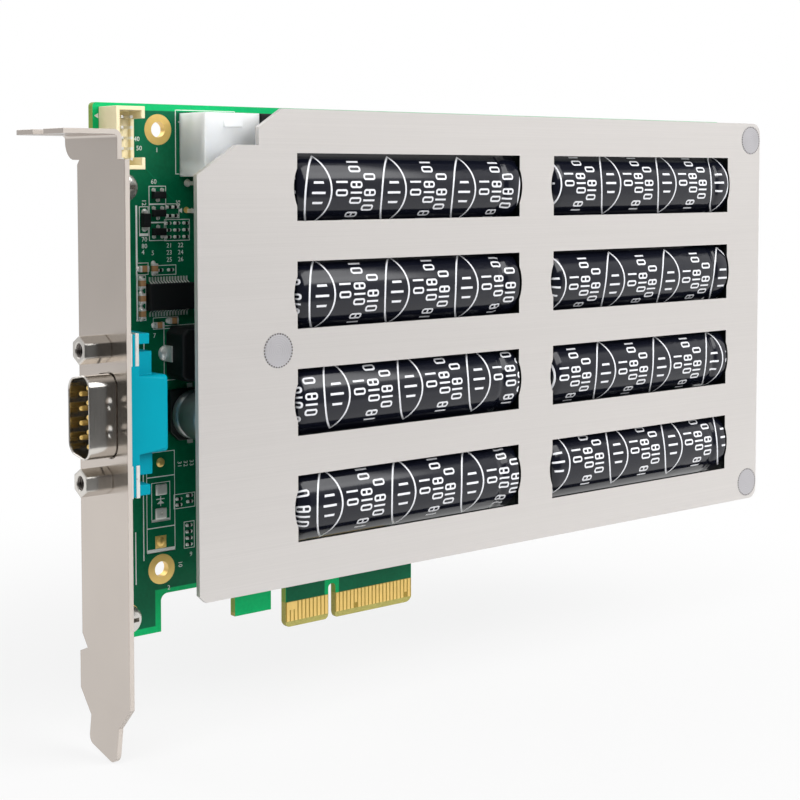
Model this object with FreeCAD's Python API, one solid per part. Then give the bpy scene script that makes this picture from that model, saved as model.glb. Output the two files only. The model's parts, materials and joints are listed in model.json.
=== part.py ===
import FreeCAD, Part
import math
import os
from FreeCAD import Vector

# A supercapacitor backup card for an expansion slot, in millimetres.
# X runs along the card from the bracket, Y from the component side to the solder side, Z up.
# The origin is the middle of the key notch, at the fingers' bottom edge, in the board's mid-plane.

# Modelling limits
full_round_margin = 0.02       # keeps the two arcs of a round end apart
same_place = 1e-6              # edges closer than this lie in one plane
hexagon_sides = 6

# Board
board_thickness = 1.6
board_edge_gap = 0.15          # between the bracket and the board's end
board_bottom_z = 12.3          # main lower edge above the fingers' bottom edge
board_corner_radius = 0.8
foot_bottom_z = 4.7            # lower edge of the two feet beside the fingers
bracket_foot_length = 14.1
bracket_foot_radius = 1.5
key_foot_left_x = -24.9
key_foot_length = 9.0

# Edge fingers
finger_left_x = -12.15
finger_right_x = 22.15
finger_corner_radius = 1.3
finger_bevel_height = 1.2
finger_bevel_depth = 0.4
key_notch_width = 1.9
key_notch_height = 7.7
key_notch_lip_radius = 0.8
pad_pitch = 1.0
pad_width = 0.7
pad_bottom_z = 1.3
pad_top_z = 5.4
short_pad_bottom_z = 2.5
pad_bridge_bottom_z = 3.7
pad_thickness = 0.05
pads_before_key = 11
pads_after_key = 21
short_pads_front = (16, 30)    # counted from the bracket's end, from 0
short_pads_back = (0,)
pads_joined_front = 3          # supply pads joined at their tops, from the bracket's end
pads_joined_back = 0
pad_key_offset = 1.5           # from the key's middle to the first pad on each side

# Bracket
bracket_face_x = -57.6         # outer face
bracket_thickness = 0.95
bracket_near_y = -14.95        # edge on the component side
bracket_width = 18.42
bracket_bend_radius = 0.7
tab_top_z = 104.1
tab_reach = 11.0               # outward from the outer face
tab_near_inset = 2.8           # step back of the tab from the near edge
tab_far_overhang = 4.85        # ear beyond the far edge
tab_outer_radius = 2.2
ear_bottom_z = 98.5
ear_radius = 3.6
ear_relief_depth = 0.9
slot_width = 4.4
slot_depth = 5.6
slot_from_near = 12.75         # slot's middle from the near edge
bracket_notch_z = 3.8          # middle of the small notch in the far edge
bracket_notch_depth = 2.1
bracket_notch_height = 2.5
guide_overhang = 0.9           # widening of the far edge below the notch
guide_bottom_z = -4.7
tongue_top_z = -8.9
tongue_length = 7.05
tongue_near_inset = 3.6
tongue_width = 10.8
tongue_slant = 2.1             # how much lower the near bottom corner lies
tongue_corner_radius = 1.8
tongue_angle = 5.5             # outward bend in degrees

# Screwed lugs that tie the bracket to the board
lug_length = 10.2
lug_height = 8.0
lug_chamfer = 1.6
lug_screw_from_face = 7.4      # screw's middle from the bracket's outer face
lug_far_inset = 0.3
upper_lug_z = 93.2
lower_lug_z = 8.6

# Holes for the screws in the lugs and in the cover's standoffs
screw_hole_diameter = 3.2
screw_thread_diameter = 2.6

# Plain fixing holes
fixing_hole_diameter = 3.2
fixing_hole_from_left = 14.3
fixing_hole_from_edge = 5.0

# Supercapacitor cells
cell_diameter = 18.0
cell_length = 60.5
cell_rows = 4
cell_columns = 2
cell_row_gap = 3.55
cell_column_gap = 10.7
cell_proud = 0.45              # crown of a cell in front of the cover
cell_shoulder_length = 2.8     # sloping shoulder at the closed end
cell_shoulder_depth = 1.6
cell_bung_easing = 0.4
cell_lead_width = 0.7
cell_lead_spacing = 7.5
cell_lead_reach = 3.2
cell_opening_gap = 0.2         # cell to board, all round
row_margin = 16.27             # outer rows' axes from the board's long edges
end_margin = 13.2              # last cell to the board's far end
lead_tail = 1.4                # leads and pins stand this far out of the solder side

# Cover plate
standoff_height = 13.0
cover_thickness = 1.2
cover_inset = 0.8              # inside the board's top, bottom and far edges
cover_setback = 14.3           # from the board's bracket end
cover_to_cells = 23.35         # cover's left edge to the first cell
cover_corner_radius = 2.6
cover_small_chamfer = 1.4
cover_upper_slope_run = 5.65
cover_upper_slope_drop = 3.75
cover_step_drop = 3.5
cover_step_run = 5.15
cover_lower_slope_drop = 5.85
cover_lower_slope_run = 9.0
window_side_gap = 1.55
window_end_gap = 0.05
window_bow_chord = 7.5
window_bow_depth = 0.8
standoff_head_diameter = 7.0
standoff_body_flats = 5.5
standoff_thread_depth = 7.0
standoff_from_end = 3.6        # from the cover's far edge
standoff_from_edge = 4.25      # from the cover's long edges
middle_standoff_from_left = 18.6

# Nine way serial connector
serial_height = 6.1            # axis above the board
serial_z = 50.4
shell_half_length = 8.46
shell_half_width = 4.18
shell_slope = 10.0
shell_radius = 2.6
shell_wall = 0.45
shell_reach = 5.8              # outward from the bracket's outer face
shell_gap = 0.35               # shell to the bracket's opening
flange_length = 30.8
flange_width = 12.0
flange_thickness = 0.8
body_flange_thickness = 2.2
body_length = 14.8
body_depth = 8.65              # inward from the flange
body_height = 11.8             # above the board
body_radius = 0.9
neck_length = 4.4
neck_depth = 6.4
neck_height = 9.2
arm_length = 2.0
arm_depth = 5.0
arm_top_inset = 1.0
insulator_reach = 1.4
pin_diameter = 1.0             # across the contact's flats
contact_sides = 8
pin_stem = 0.6                 # square stem behind the contact
pin_pitch = 2.77
pin_row_pitch = 2.84
pin_recess = 1.0               # pin tips inside the shell's mouth
near_row_pins = 5
far_row_pins = 4
near_row_tail = 6.4            # tails from the flange's back face
far_row_tail = 3.5
jack_from_end = 2.905          # from the flange's end
jack_flats = 4.75
jack_length = 5.6
jack_hole_diameter = 2.7
jack_hole_depth = 4.6
jack_stud_diameter = 2.8
jack_stud_gap = 0.2
clip_length = 6.2
clip_width = 3.3
clip_slot = 0.6

# Power header, two rows of three, opening upwards
power_from_left = 19.1
power_from_top = 1.7
power_width = 12.7
power_depth = 9.6
power_height = 12.5
power_rows = 2
power_columns = 3
power_pitch = 4.2
power_cavity = 3.3
power_cavity_depth = 9.6
power_pin = 0.8
power_pin_height = 7.4
power_first_tail = 1.3         # below the housing
power_tail_pitch = 5.5
ramp_width = 4.3
ramp_height = 1.6
ramp_reach = 0.5
ramp_from_top = 1.2

# Box header, two rows of five
box_from_left = 4.4            # middle of the header
box_from_top = 6.85
box_width = 6.2
box_length = 12.0
box_height = 6.8
box_wall = 0.8
box_floor = 2.0
box_pitch = 2.0
box_pin = 0.5
box_pin_height = 5.3
box_pins_per_row = 5
box_latch_length = 7.4
box_latch_floor = 2.6

# Charger chip with two rows of gull wing leads
chip_from_left = 16.3
chip_from_top = 37.8
chip_length = 10.2
chip_width = 5.3
chip_height = 1.75
chip_standoff = 0.1
chip_leads_per_side = 14
chip_lead_pitch = 0.65
chip_lead_width = 0.3
chip_lead_thickness = 0.2
chip_lead_span = 7.8
chip_lead_foot = 0.8

# Power inductor
inductor_from_left = 21.0
inductor_from_top = 49.1
inductor_size = 10.6
inductor_height = 6.4
inductor_chamfer = 1.2
inductor_top_easing = 0.4
terminal_width = 3.2
terminal_thickness = 0.35
terminal_height = 2.6

# Filter capacitor
filter_from_left = 21.0
filter_from_top = 61.5
filter_base_size = 10.3
filter_base_height = 1.4
filter_base_chamfer = 2.0
filter_diameter = 10.0
filter_height = 10.2
filter_top_easing = 0.8
filter_foot_width = 1.2
filter_foot_reach = 0.9
filter_foot_thickness = 0.3

# Small three lead transistors, down one column
transistor_from_left = 14.1
transistors_from_top = (17.8, 21.35, 25.0)
transistor_up_pairs = (True, True, False)     # pair of leads on the upper side
transistor_length = 2.9
transistor_width = 1.4
transistor_height = 1.0
transistor_lead = 0.45
transistor_lead_reach = 0.55
transistor_lead_pitch = 1.9
transistor_lead_thickness = 0.15

# Power transistors under the cover
power_transistor_from_left = 26.5
power_transistors_from_top = (25.5, 33.0)
power_transistor_length = 4.9
power_transistor_width = 3.9
power_transistor_height = 1.5
power_transistor_span = 6.0
power_transistor_lead = 0.42
power_transistor_pitch = 1.27
power_transistor_leads = 4

# Diodes
signal_diode_from_left = 11.1
signal_diode_from_top = 22.7
signal_diode_length = 2.7
signal_diode_width = 1.7
signal_diode_height = 1.15
signal_diode_span = 3.8
signal_diode_terminal = 0.9
power_diode_from_left = 39.6
power_diode_from_top = 4.0
power_diode_length = 6.9
power_diode_width = 5.2
power_diode_height = 3.4
power_diode_span = 7.9
power_diode_terminal = 3.0
diode_terminal_thickness = 0.3

# Chip resistors and chip capacitors, each from the board's left and top edges
resistor_length = 1.0
resistor_width = 0.55
resistor_height = 0.35
resistor_rows_from_top = (23.4, 24.75, 26.1)
resistor_columns_from_left = (16.4, 18.4, 20.5)
single_resistors = (
    (14.5, 32.6), (16.9, 32.6), (16.7, 20.2), (18.0, 20.2), (16.7, 21.9), (18.0, 21.9),
    (20.9, 78.2), (20.9, 79.4), (18.4, 78.6), (18.4, 79.8),
    (20.7, 84.2), (20.7, 85.5), (20.7, 86.8), (20.7, 88.1))
capacitor_length = 2.0
capacitor_width = 1.2
capacitor_height = 0.9
flat_capacitors = ((10.6, 32.2), (17.2, 42.7), (13.9, 43.4))
upright_capacitors = ((10.2, 35.0), (10.2, 38.0), (10.2, 41.0), (13.0, 32.2))

# Balancing resistors beside each cell's leads
balance_length = 6.3
balance_width = 3.1
balance_height = 0.6
balance_from_lead = 3.2

# Places worked out from the sizes above
board_front_y = -board_thickness / 2
board_back_y = board_thickness / 2
bracket_inner_x = bracket_face_x + bracket_thickness
bracket_far_y = bracket_near_y + bracket_width
board_left_x = bracket_inner_x + board_edge_gap
cell_radius = cell_diameter / 2
cell_row_pitch = cell_diameter + cell_row_gap
cell_column_pitch = cell_length + cell_column_gap
board_top_z = board_bottom_z + 2 * row_margin + (cell_rows - 1) * cell_row_pitch
cover_left_x = board_left_x + cover_setback
first_cell_x = cover_left_x + cover_to_cells
board_right_x = first_cell_x + (cell_columns - 1) * cell_column_pitch + cell_length + end_margin
middle_z = (board_bottom_z + board_top_z) / 2
cover_back_y = board_front_y - standoff_height
cover_front_y = cover_back_y - cover_thickness
cover_right_x = board_right_x - cover_inset
cover_top_z = board_top_z - cover_inset
cover_bottom_z = board_bottom_z + cover_inset
cell_axis_y = cover_front_y - cell_proud + cell_radius
serial_y = board_front_y - serial_height
jack_spacing = flange_length - 2 * jack_from_end
flange_back_x = bracket_inner_x + flange_thickness
tail_y = board_back_y + lead_tail
lug_screw_x = bracket_face_x + lug_screw_from_face
fixing_hole_x = board_left_x + fixing_hole_from_left
fixing_holes_z = (board_bottom_z + fixing_hole_from_edge, board_top_z - fixing_hole_from_edge)


def from_edges(from_left, from_top):
    """Place on the board, from its left and top edges."""
    return board_left_x + from_left, board_top_z - from_top


def box(x_range, y_range, z_range):
    """Block between two values on each axis."""
    low = Vector(min(x_range), min(y_range), min(z_range))
    high = Vector(max(x_range), max(y_range), max(z_range))
    size = high - low
    return Part.makeBox(size.x, size.y, size.z, low)


def centred(middle, size):
    """Range of a size about its middle."""
    return middle - size / 2, middle + size / 2


def rod(start, end, diameter):
    """Round bar between two points."""
    run = Vector(*end) - Vector(*start)
    return Part.makeCylinder(diameter / 2, run.Length, Vector(*start), run)


def outline(corners, to_space):
    """Face of straight sides, where a corner is (u, v) or (u, v, radius)."""
    flat = [Vector(corner[0], corner[1], 0) for corner in corners]
    radii = [corner[2] if len(corner) > 2 else 0 for corner in corners]
    stations = []
    for index, corner in enumerate(flat):
        back = (flat[index - 1] - corner).normalize()
        ahead = (flat[(index + 1) % len(flat)] - corner).normalize()
        half = back.getAngle(ahead) / 2
        run = radii[index] / math.tan(half)
        bisector = (back + ahead).normalize()
        inside = corner + bisector * (radii[index] / math.sin(half) - radii[index])
        stations.append((corner + back * run, inside, corner + ahead * run))
    edges = []
    for index, (start, inside, end) in enumerate(stations):
        before = stations[index - 1][2]
        if before.distanceToPoint(start) > same_place:
            edges.append(Part.LineSegment(to_space(before), to_space(start)).toShape())
        if radii[index]:
            edges.append(Part.Arc(to_space(start), to_space(inside), to_space(end)).toShape())
    return Part.Face(Part.Wire(edges))


def plate_xz(corners, y_range):
    """Outline in X and Z, thick along Y."""
    face = outline(corners, lambda point: Vector(point.x, y_range[0], point.y))
    return face.extrude(Vector(0, y_range[1] - y_range[0], 0))


def plate_yz(corners, x_range):
    """Outline in Y and Z, thick along X."""
    face = outline(corners, lambda point: Vector(x_range[0], point.x, point.y))
    return face.extrude(Vector(x_range[1] - x_range[0], 0, 0))


def plate_xy(corners, z_range):
    """Outline in X and Y, thick along Z."""
    face = outline(corners, lambda point: Vector(point.x, point.y, z_range[0]))
    return face.extrude(Vector(0, 0, z_range[1] - z_range[0]))


def polygon(middle, across_flats, sides):
    """Corners of a regular polygon about a middle."""
    middle_u, middle_v = middle
    reach = across_flats / 2 / math.cos(math.pi / sides)
    angles = [math.pi * (2 * index + 1) / sides for index in range(sides)]
    return [(middle_u + reach * math.cos(angle), middle_v + reach * math.sin(angle)) for angle in angles]


def turned(profile, origin, axis, side):
    """Solid of revolution of a profile of (along, out) points."""
    points = [Vector(*origin) + axis * along + side * out for along, out in profile]
    wire = Part.makePolygon(points + [points[0]])
    return Part.Face(wire).revolve(Vector(*origin), axis, 360)


def cell_places():
    """First end and axis height of each cell, column by column from the top row."""
    top_row_z = board_top_z - row_margin
    places = []
    for column in range(cell_columns):
        for row in range(cell_rows):
            places.append((first_cell_x + column * cell_column_pitch, top_row_z - row * cell_row_pitch))
    return places


def cell_lead_places():
    """Where the cells' leads go through the board."""
    places = []
    for start_x, axis_z in cell_places():
        for side in (-1, 1):
            places.append((start_x + cell_length + cell_lead_reach, axis_z + side * cell_lead_spacing / 2))
    return places


def serial_pin_places():
    """Y, Z and tail X of each pin: the longer row is the one further from the board."""
    places = []
    for count, side, tail in ((near_row_pins, -1, near_row_tail), (far_row_pins, 1, far_row_tail)):
        for index in range(count):
            pin_z = serial_z + (index - (count - 1) / 2) * pin_pitch
            places.append((serial_y + side * pin_row_pitch / 2, pin_z, flange_back_x + tail))
    return places


def box_pin_places():
    """Box header pins, in two columns."""
    middle_x, header_z = from_edges(box_from_left, box_from_top)
    places = []
    for side in (-1, 1):
        for index in range(box_pins_per_row):
            pin_z = header_z + (index - (box_pins_per_row - 1) / 2) * box_pitch
            places.append((middle_x + side * box_pitch / 2, pin_z))
    return places


def power_pin_places():
    """Power header pins: X, Y in the housing and Z of the tail."""
    left_x, top_z = from_edges(power_from_left, power_from_top)
    bottom_z = top_z - power_height
    places = []
    for row in range(power_rows):
        pin_y = board_front_y - power_depth / 2 + ((power_rows - 1) / 2 - row) * power_pitch
        tail_z = bottom_z - power_first_tail - row * power_tail_pitch
        for column in range(power_columns):
            offset = (column - (power_columns - 1) / 2) * power_pitch
            places.append((left_x + power_width / 2 + offset, pin_y, tail_z))
    return places


def standoff_places():
    """Cover standoffs: one at the left, two at the far corners."""
    far_x = cover_right_x - standoff_from_end
    return [
        (cover_left_x + middle_standoff_from_left, middle_z),
        (far_x, cover_top_z - standoff_from_edge),
        (far_x, cover_bottom_z + standoff_from_edge)]


def make_board():
    """Board with its feet, edge fingers, key notch, cell openings and holes."""
    bracket_foot_right_x = board_left_x + bracket_foot_length
    key_foot_right_x = key_foot_left_x + key_foot_length
    key_left_x = -key_notch_width / 2
    key_right_x = key_notch_width / 2
    key_top_radius = key_notch_width / 2 - full_round_margin
    corners = [
        (board_left_x, foot_bottom_z),
        (bracket_foot_right_x, foot_bottom_z),
        (bracket_foot_right_x, board_bottom_z, bracket_foot_radius),
        (key_foot_left_x, board_bottom_z),
        (key_foot_left_x, foot_bottom_z),
        (key_foot_right_x, foot_bottom_z),
        (key_foot_right_x, board_bottom_z),
        (finger_left_x, board_bottom_z),
        (finger_left_x, 0, finger_corner_radius),
        (key_left_x, 0, key_notch_lip_radius),
        (key_left_x, key_notch_height, key_top_radius),
        (key_right_x, key_notch_height, key_top_radius),
        (key_right_x, 0, key_notch_lip_radius),
        (finger_right_x, 0, finger_corner_radius),
        (finger_right_x, board_bottom_z),
        (board_right_x, board_bottom_z, board_corner_radius),
        (board_right_x, board_top_z, board_corner_radius),
        (board_left_x, board_top_z, board_corner_radius)]
    board = plate_xz(corners, (board_front_y, board_back_y))
    through = (2 * board_front_y, 2 * board_back_y)
    cuts = []
    for side in (-1, 1):
        face_y = side * board_thickness / 2
        bevel = [
            (face_y, finger_bevel_height),
            (face_y, -finger_bevel_height),
            (face_y - side * 2 * finger_bevel_depth, -finger_bevel_height)]
        cuts.append(plate_yz(bevel, (finger_left_x, finger_right_x)))
    chord = math.sqrt(cell_radius ** 2 - (board_front_y - cell_axis_y) ** 2)
    for start_x, axis_z in cell_places():
        x_range = (start_x - cell_opening_gap, start_x + cell_length + cell_opening_gap)
        z_range = centred(axis_z, 2 * (chord + cell_opening_gap))
        cuts.append(box(x_range, through, z_range))
    holes = [(fixing_hole_x, hole_z, fixing_hole_diameter) for hole_z in fixing_holes_z]
    holes += [(lug_screw_x, lug_z, screw_hole_diameter) for lug_z in (lower_lug_z, upper_lug_z)]
    holes += [(hole_x, hole_z, screw_hole_diameter) for hole_x, hole_z in standoff_places()]
    for hole_x, hole_z, diameter in holes:
        cuts.append(rod((hole_x, through[0], hole_z), (hole_x, through[1], hole_z), diameter))
    slots = [(hole_x, hole_z, cell_lead_width) for hole_x, hole_z in cell_lead_places()]
    slots += [(tail_x, pin_z, pin_stem) for _, pin_z, tail_x in serial_pin_places()]
    slots += [(hole_x, hole_z, box_pin) for hole_x, hole_z in box_pin_places()]
    slots += [(hole_x, hole_z, power_pin) for hole_x, _, hole_z in power_pin_places()]
    for hole_x, hole_z, width in slots:
        cuts.append(box(centred(hole_x, width), through, centred(hole_z, width)))
    return board.cut(cuts)


def make_edge_contacts():
    """Pads of the edge fingers, with short presence pads and the joined supply pads."""
    places = [-pad_key_offset - (pads_before_key - 1 - index) * pad_pitch for index in range(pads_before_key)]
    places += [pad_key_offset + index * pad_pitch for index in range(pads_after_key)]
    sides = (
        ((board_front_y - pad_thickness, board_front_y), short_pads_front, pads_joined_front),
        ((board_back_y, board_back_y + pad_thickness), short_pads_back, pads_joined_back))
    pads = []
    for y_range, short_pads, joined in sides:
        side_pads = []
        for index, pad_x in enumerate(places):
            bottom_z = short_pad_bottom_z if index in short_pads else pad_bottom_z
            side_pads.append(box(centred(pad_x, pad_width), y_range, (bottom_z, pad_top_z)))
        if joined:
            bridge = box((places[0], places[joined - 1]), y_range, (pad_bridge_bottom_z, pad_top_z))
            supply = side_pads[0].fuse(side_pads[1:joined] + [bridge]).removeSplitter()
            side_pads = [supply] + side_pads[joined:]
        pads += side_pads
    return Part.makeCompound(pads)


def shell_corners(grow):
    """Outline of the serial connector's shell, grown all round, wide side towards the component side."""
    slope = math.tan(math.radians(shell_slope))
    half_width = shell_half_width + grow
    near_half = shell_half_length + grow
    far_half = near_half - 2 * half_width * slope
    radius = max(shell_radius + grow, shell_wall)
    return [
        (serial_y - half_width, serial_z - near_half, radius),
        (serial_y - half_width, serial_z + near_half, radius),
        (serial_y + half_width, serial_z + far_half, radius),
        (serial_y + half_width, serial_z - far_half, radius)]


def make_bracket():
    """Folded bracket: tab with its screw slot, ear, strip with the connector's opening and slanted tongue."""
    tilt = math.radians(tongue_angle)
    tongue_end_z = tongue_top_z - tongue_length
    lean = math.tan(tilt) * (guide_bottom_z - tongue_end_z)
    mitre = bracket_thickness * math.tan(tilt / 2)
    tab_under_z = tab_top_z - bracket_thickness
    outer_bend = bracket_bend_radius + bracket_thickness
    tab_end_x = bracket_face_x - tab_reach
    section = [
        (tab_end_x, tab_under_z),
        (bracket_face_x, tab_under_z, bracket_bend_radius),
        (bracket_face_x, guide_bottom_z),
        (bracket_face_x - lean, tongue_end_z),
        (bracket_inner_x - lean, tongue_end_z),
        (bracket_inner_x, guide_bottom_z - mitre),
        (bracket_inner_x, tab_top_z, outer_bend),
        (tab_end_x, tab_top_z)]
    tab_near_y = bracket_near_y + tab_near_inset
    tab_far_y = bracket_far_y + tab_far_overhang
    ribbon = plate_xz(section, (bracket_near_y, tab_far_y))
    tongue_near_y = bracket_near_y + tongue_near_inset
    tongue_far_y = tongue_near_y + tongue_width
    guide_far_y = bracket_far_y + guide_overhang
    above_z = tab_top_z + bracket_thickness
    front = [
        (tab_near_y, above_z),
        (tab_near_y, ear_bottom_z),
        (bracket_near_y, ear_bottom_z),
        (bracket_near_y, guide_bottom_z),
        (tongue_near_y, tongue_top_z),
        (tongue_near_y, tongue_end_z, tongue_corner_radius),
        (tongue_far_y, tongue_end_z + tongue_slant, tongue_corner_radius),
        (tongue_far_y, tongue_top_z),
        (guide_far_y, guide_bottom_z),
        (guide_far_y, bracket_notch_z - bracket_notch_height / 2),
        (bracket_far_y - bracket_notch_depth, bracket_notch_z),
        (bracket_far_y, bracket_notch_z + bracket_notch_height),
        (bracket_far_y, ear_bottom_z - ear_relief_depth),
        (bracket_far_y - ear_relief_depth, ear_bottom_z),
        (tab_far_y, ear_bottom_z, ear_radius),
        (tab_far_y, above_z)]
    behind_x = bracket_inner_x + bracket_thickness
    bracket = ribbon.common(plate_yz(front, (tab_end_x - lean, behind_x)))
    plan = [
        (behind_x, bracket_near_y - bracket_thickness),
        (behind_x, tab_far_y),
        (tab_end_x, tab_far_y, tab_outer_radius),
        (tab_end_x, tab_near_y),
        (bracket_face_x - lean - bracket_thickness, tab_near_y),
        (bracket_face_x - lean - bracket_thickness, bracket_near_y - bracket_thickness)]
    bracket = bracket.common(plate_xy(plan, (tongue_end_z - bracket_thickness, above_z)))
    slot_y = bracket_near_y + slot_from_near
    slot_end_x = tab_end_x + slot_depth
    slot = [
        (tab_end_x - slot_width, slot_y - slot_width / 2),
        (slot_end_x, slot_y - slot_width / 2, slot_width / 2 - full_round_margin),
        (slot_end_x, slot_y + slot_width / 2, slot_width / 2 - full_round_margin),
        (tab_end_x - slot_width, slot_y + slot_width / 2)]
    cuts = [plate_xy(slot, (tab_under_z - bracket_thickness, above_z))]
    cuts.append(plate_yz(shell_corners(shell_gap), (bracket_face_x - shell_gap, behind_x)))
    for side in (-1, 1):
        hole_z = serial_z + side * jack_spacing / 2
        start = (bracket_face_x - jack_stud_gap, serial_y, hole_z)
        cuts.append(rod(start, (behind_x, serial_y, hole_z), jack_stud_diameter + 2 * jack_stud_gap))
    return bracket.cut(cuts)


def make_bracket_lugs():
    """Two angle lugs, welded inside the bracket and tapped behind the board."""
    lugs = []
    back_y = board_back_y + bracket_thickness
    for lug_z in (lower_lug_z, upper_lug_z):
        z_range = centred(lug_z, lug_height)
        end_x = bracket_inner_x + lug_length
        flat = plate_xz([
            (bracket_inner_x, z_range[0]),
            (end_x - lug_chamfer, z_range[0]),
            (end_x, z_range[0] + lug_chamfer),
            (end_x, z_range[1] - lug_chamfer),
            (end_x - lug_chamfer, z_range[1]),
            (bracket_inner_x, z_range[1])], (board_back_y, back_y))
        x_range = (bracket_inner_x, bracket_inner_x + bracket_thickness)
        upright = box(x_range, (board_back_y, bracket_far_y - lug_far_inset), z_range)
        start = (lug_screw_x, board_front_y, lug_z)
        hole = rod(start, (lug_screw_x, 2 * back_y, lug_z), screw_thread_diameter)
        lugs.append(flat.fuse(upright).removeSplitter().cut(hole))
    return Part.makeCompound(lugs)


def window_cut(start_x, axis_z):
    """Opening over one cell, with a shallow bow at each short end."""
    depth = abs(cover_back_y - cell_axis_y)
    half_height = math.sqrt(cell_radius ** 2 - depth ** 2) + window_side_gap
    x_range = (start_x - window_end_gap, start_x + cell_length + window_end_gap)
    through = (cover_front_y - cover_thickness, cover_back_y + cover_thickness)
    opening = box(x_range, through, centred(axis_z, 2 * half_height))
    bow_radius = (window_bow_chord ** 2 / 4 + window_bow_depth ** 2) / (2 * window_bow_depth)
    bows = []
    for end_x, side in ((x_range[0], -1), (x_range[1], 1)):
        middle_x = end_x - side * (bow_radius - window_bow_depth)
        disc = rod((middle_x, through[0], axis_z), (middle_x, through[1], axis_z), 2 * bow_radius)
        keep = box((end_x - side * window_bow_depth, end_x + side * 2 * window_bow_depth), through,
                   centred(axis_z, window_bow_chord))
        bows.append(disc.common(keep))
    return opening.fuse(bows)


def make_cover():
    """Flat cover plate with its stepped corner and one window over each cell."""
    upper_x = cover_left_x + cover_lower_slope_run
    step_x = upper_x + cover_step_run
    slope_end_x = step_x + cover_upper_slope_run
    step_top_z = cover_top_z - cover_upper_slope_drop
    step_bottom_z = step_top_z - cover_step_drop
    corners = [
        (cover_left_x, cover_bottom_z + cover_small_chamfer),
        (cover_left_x + cover_small_chamfer, cover_bottom_z),
        (cover_right_x, cover_bottom_z, cover_corner_radius),
        (cover_right_x, cover_top_z, cover_corner_radius),
        (slope_end_x, cover_top_z),
        (step_x, step_top_z),
        (step_x, step_bottom_z),
        (upper_x, step_bottom_z),
        (cover_left_x, step_bottom_z - cover_lower_slope_drop)]
    cover = plate_xz(corners, (cover_front_y, cover_back_y))
    cuts = [window_cut(start_x, axis_z) for start_x, axis_z in cell_places()]
    through = (cover_front_y - cover_thickness, cover_back_y + cover_thickness)
    for hole_x, hole_z in standoff_places():
        cuts.append(rod((hole_x, through[0], hole_z), (hole_x, through[1], hole_z), standoff_head_diameter))
    return cover.cut(cuts)


def make_standoffs():
    """Standoffs pressed flush into the cover and tapped from the board's side."""
    standoffs = []
    for hole_x, hole_z in standoff_places():
        head = rod((hole_x, cover_front_y, hole_z), (hole_x, cover_back_y, hole_z), standoff_head_diameter)
        hexagon = polygon((hole_x, hole_z), standoff_body_flats, hexagon_sides)
        body = plate_xz(hexagon, (cover_back_y, board_front_y))
        thread_y = board_front_y - standoff_thread_depth
        thread = rod((hole_x, thread_y, hole_z), (hole_x, board_back_y, hole_z), screw_thread_diameter)
        standoffs.append(head.fuse(body).cut(thread))
    return Part.makeCompound(standoffs)


def make_cell(start_x, axis_z):
    """Sealed cell: sloping shoulder, eased bung end and two leads bent down into the board."""
    profile = [
        (0, 0),
        (0, cell_radius - cell_shoulder_depth),
        (cell_shoulder_length, cell_radius),
        (cell_length - cell_bung_easing, cell_radius),
        (cell_length, cell_radius - cell_bung_easing),
        (cell_length, 0)]
    pieces = []
    end_x = start_x + cell_length
    lead_x = centred(end_x + cell_lead_reach, cell_lead_width)
    for side in (-1, 1):
        lead_z = centred(axis_z + side * cell_lead_spacing / 2, cell_lead_width)
        level_y = centred(cell_axis_y, cell_lead_width)
        pieces.append(box((end_x, lead_x[1]), level_y, lead_z))
        pieces.append(box(lead_x, (level_y[0], tail_y), lead_z))
    body = turned(profile, (start_x, cell_axis_y, axis_z), Vector(1, 0, 0), Vector(0, 0, 1))
    return body.fuse(pieces).removeSplitter()


def make_serial_shell():
    """Drawn steel shell with its mounting flange behind the bracket."""
    mouth_x = bracket_face_x - shell_reach
    flange_x = (bracket_inner_x, flange_back_x)
    flange = box(flange_x, centred(serial_y, flange_width), centred(serial_z, flange_length))
    shell = flange.fuse(plate_yz(shell_corners(0), (mouth_x, bracket_inner_x)))
    cuts = [plate_yz(shell_corners(-shell_wall), (mouth_x - shell_wall, flange_back_x + shell_wall))]
    for side in (-1, 1):
        hole_z = serial_z + side * jack_spacing / 2
        start = (bracket_inner_x - jack_stud_gap, serial_y, hole_z)
        end = (flange_back_x + jack_stud_gap, serial_y, hole_z)
        cuts.append(rod(start, end, jack_stud_diameter + 2 * jack_stud_gap))
    return shell.cut(cuts)


def make_serial_insulator():
    """Dark insulator inside the shell that holds the pins."""
    insulator = plate_yz(shell_corners(-shell_wall), (bracket_face_x - insulator_reach, flange_back_x))
    return insulator.cut(serial_pin_stems())


def serial_pin_stems():
    """Square stems of the nine pins, bent down through the board."""
    stems = []
    seat_x = bracket_face_x - insulator_reach
    for pin_y, pin_z, tail_x in serial_pin_places():
        level = box((seat_x, tail_x + pin_stem / 2), centred(pin_y, pin_stem), centred(pin_z, pin_stem))
        tail = box(centred(tail_x, pin_stem), (pin_y - pin_stem / 2, tail_y), centred(pin_z, pin_stem))
        stems.append(level.fuse(tail).removeSplitter())
    return stems


def make_serial_pins():
    """Nine pins: a contact in front of the insulator, with eight sides, and a square stem behind."""
    pins = []
    tip_x = bracket_face_x - shell_reach + pin_recess
    seat_x = bracket_face_x - insulator_reach
    for stem, (pin_y, pin_z, _) in zip(serial_pin_stems(), serial_pin_places()):
        corners = polygon((pin_y, pin_z), pin_diameter, contact_sides)
        pins.append(plate_yz(corners, (tip_x, seat_x)).fuse(stem))
    return Part.makeCompound(pins)


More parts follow.
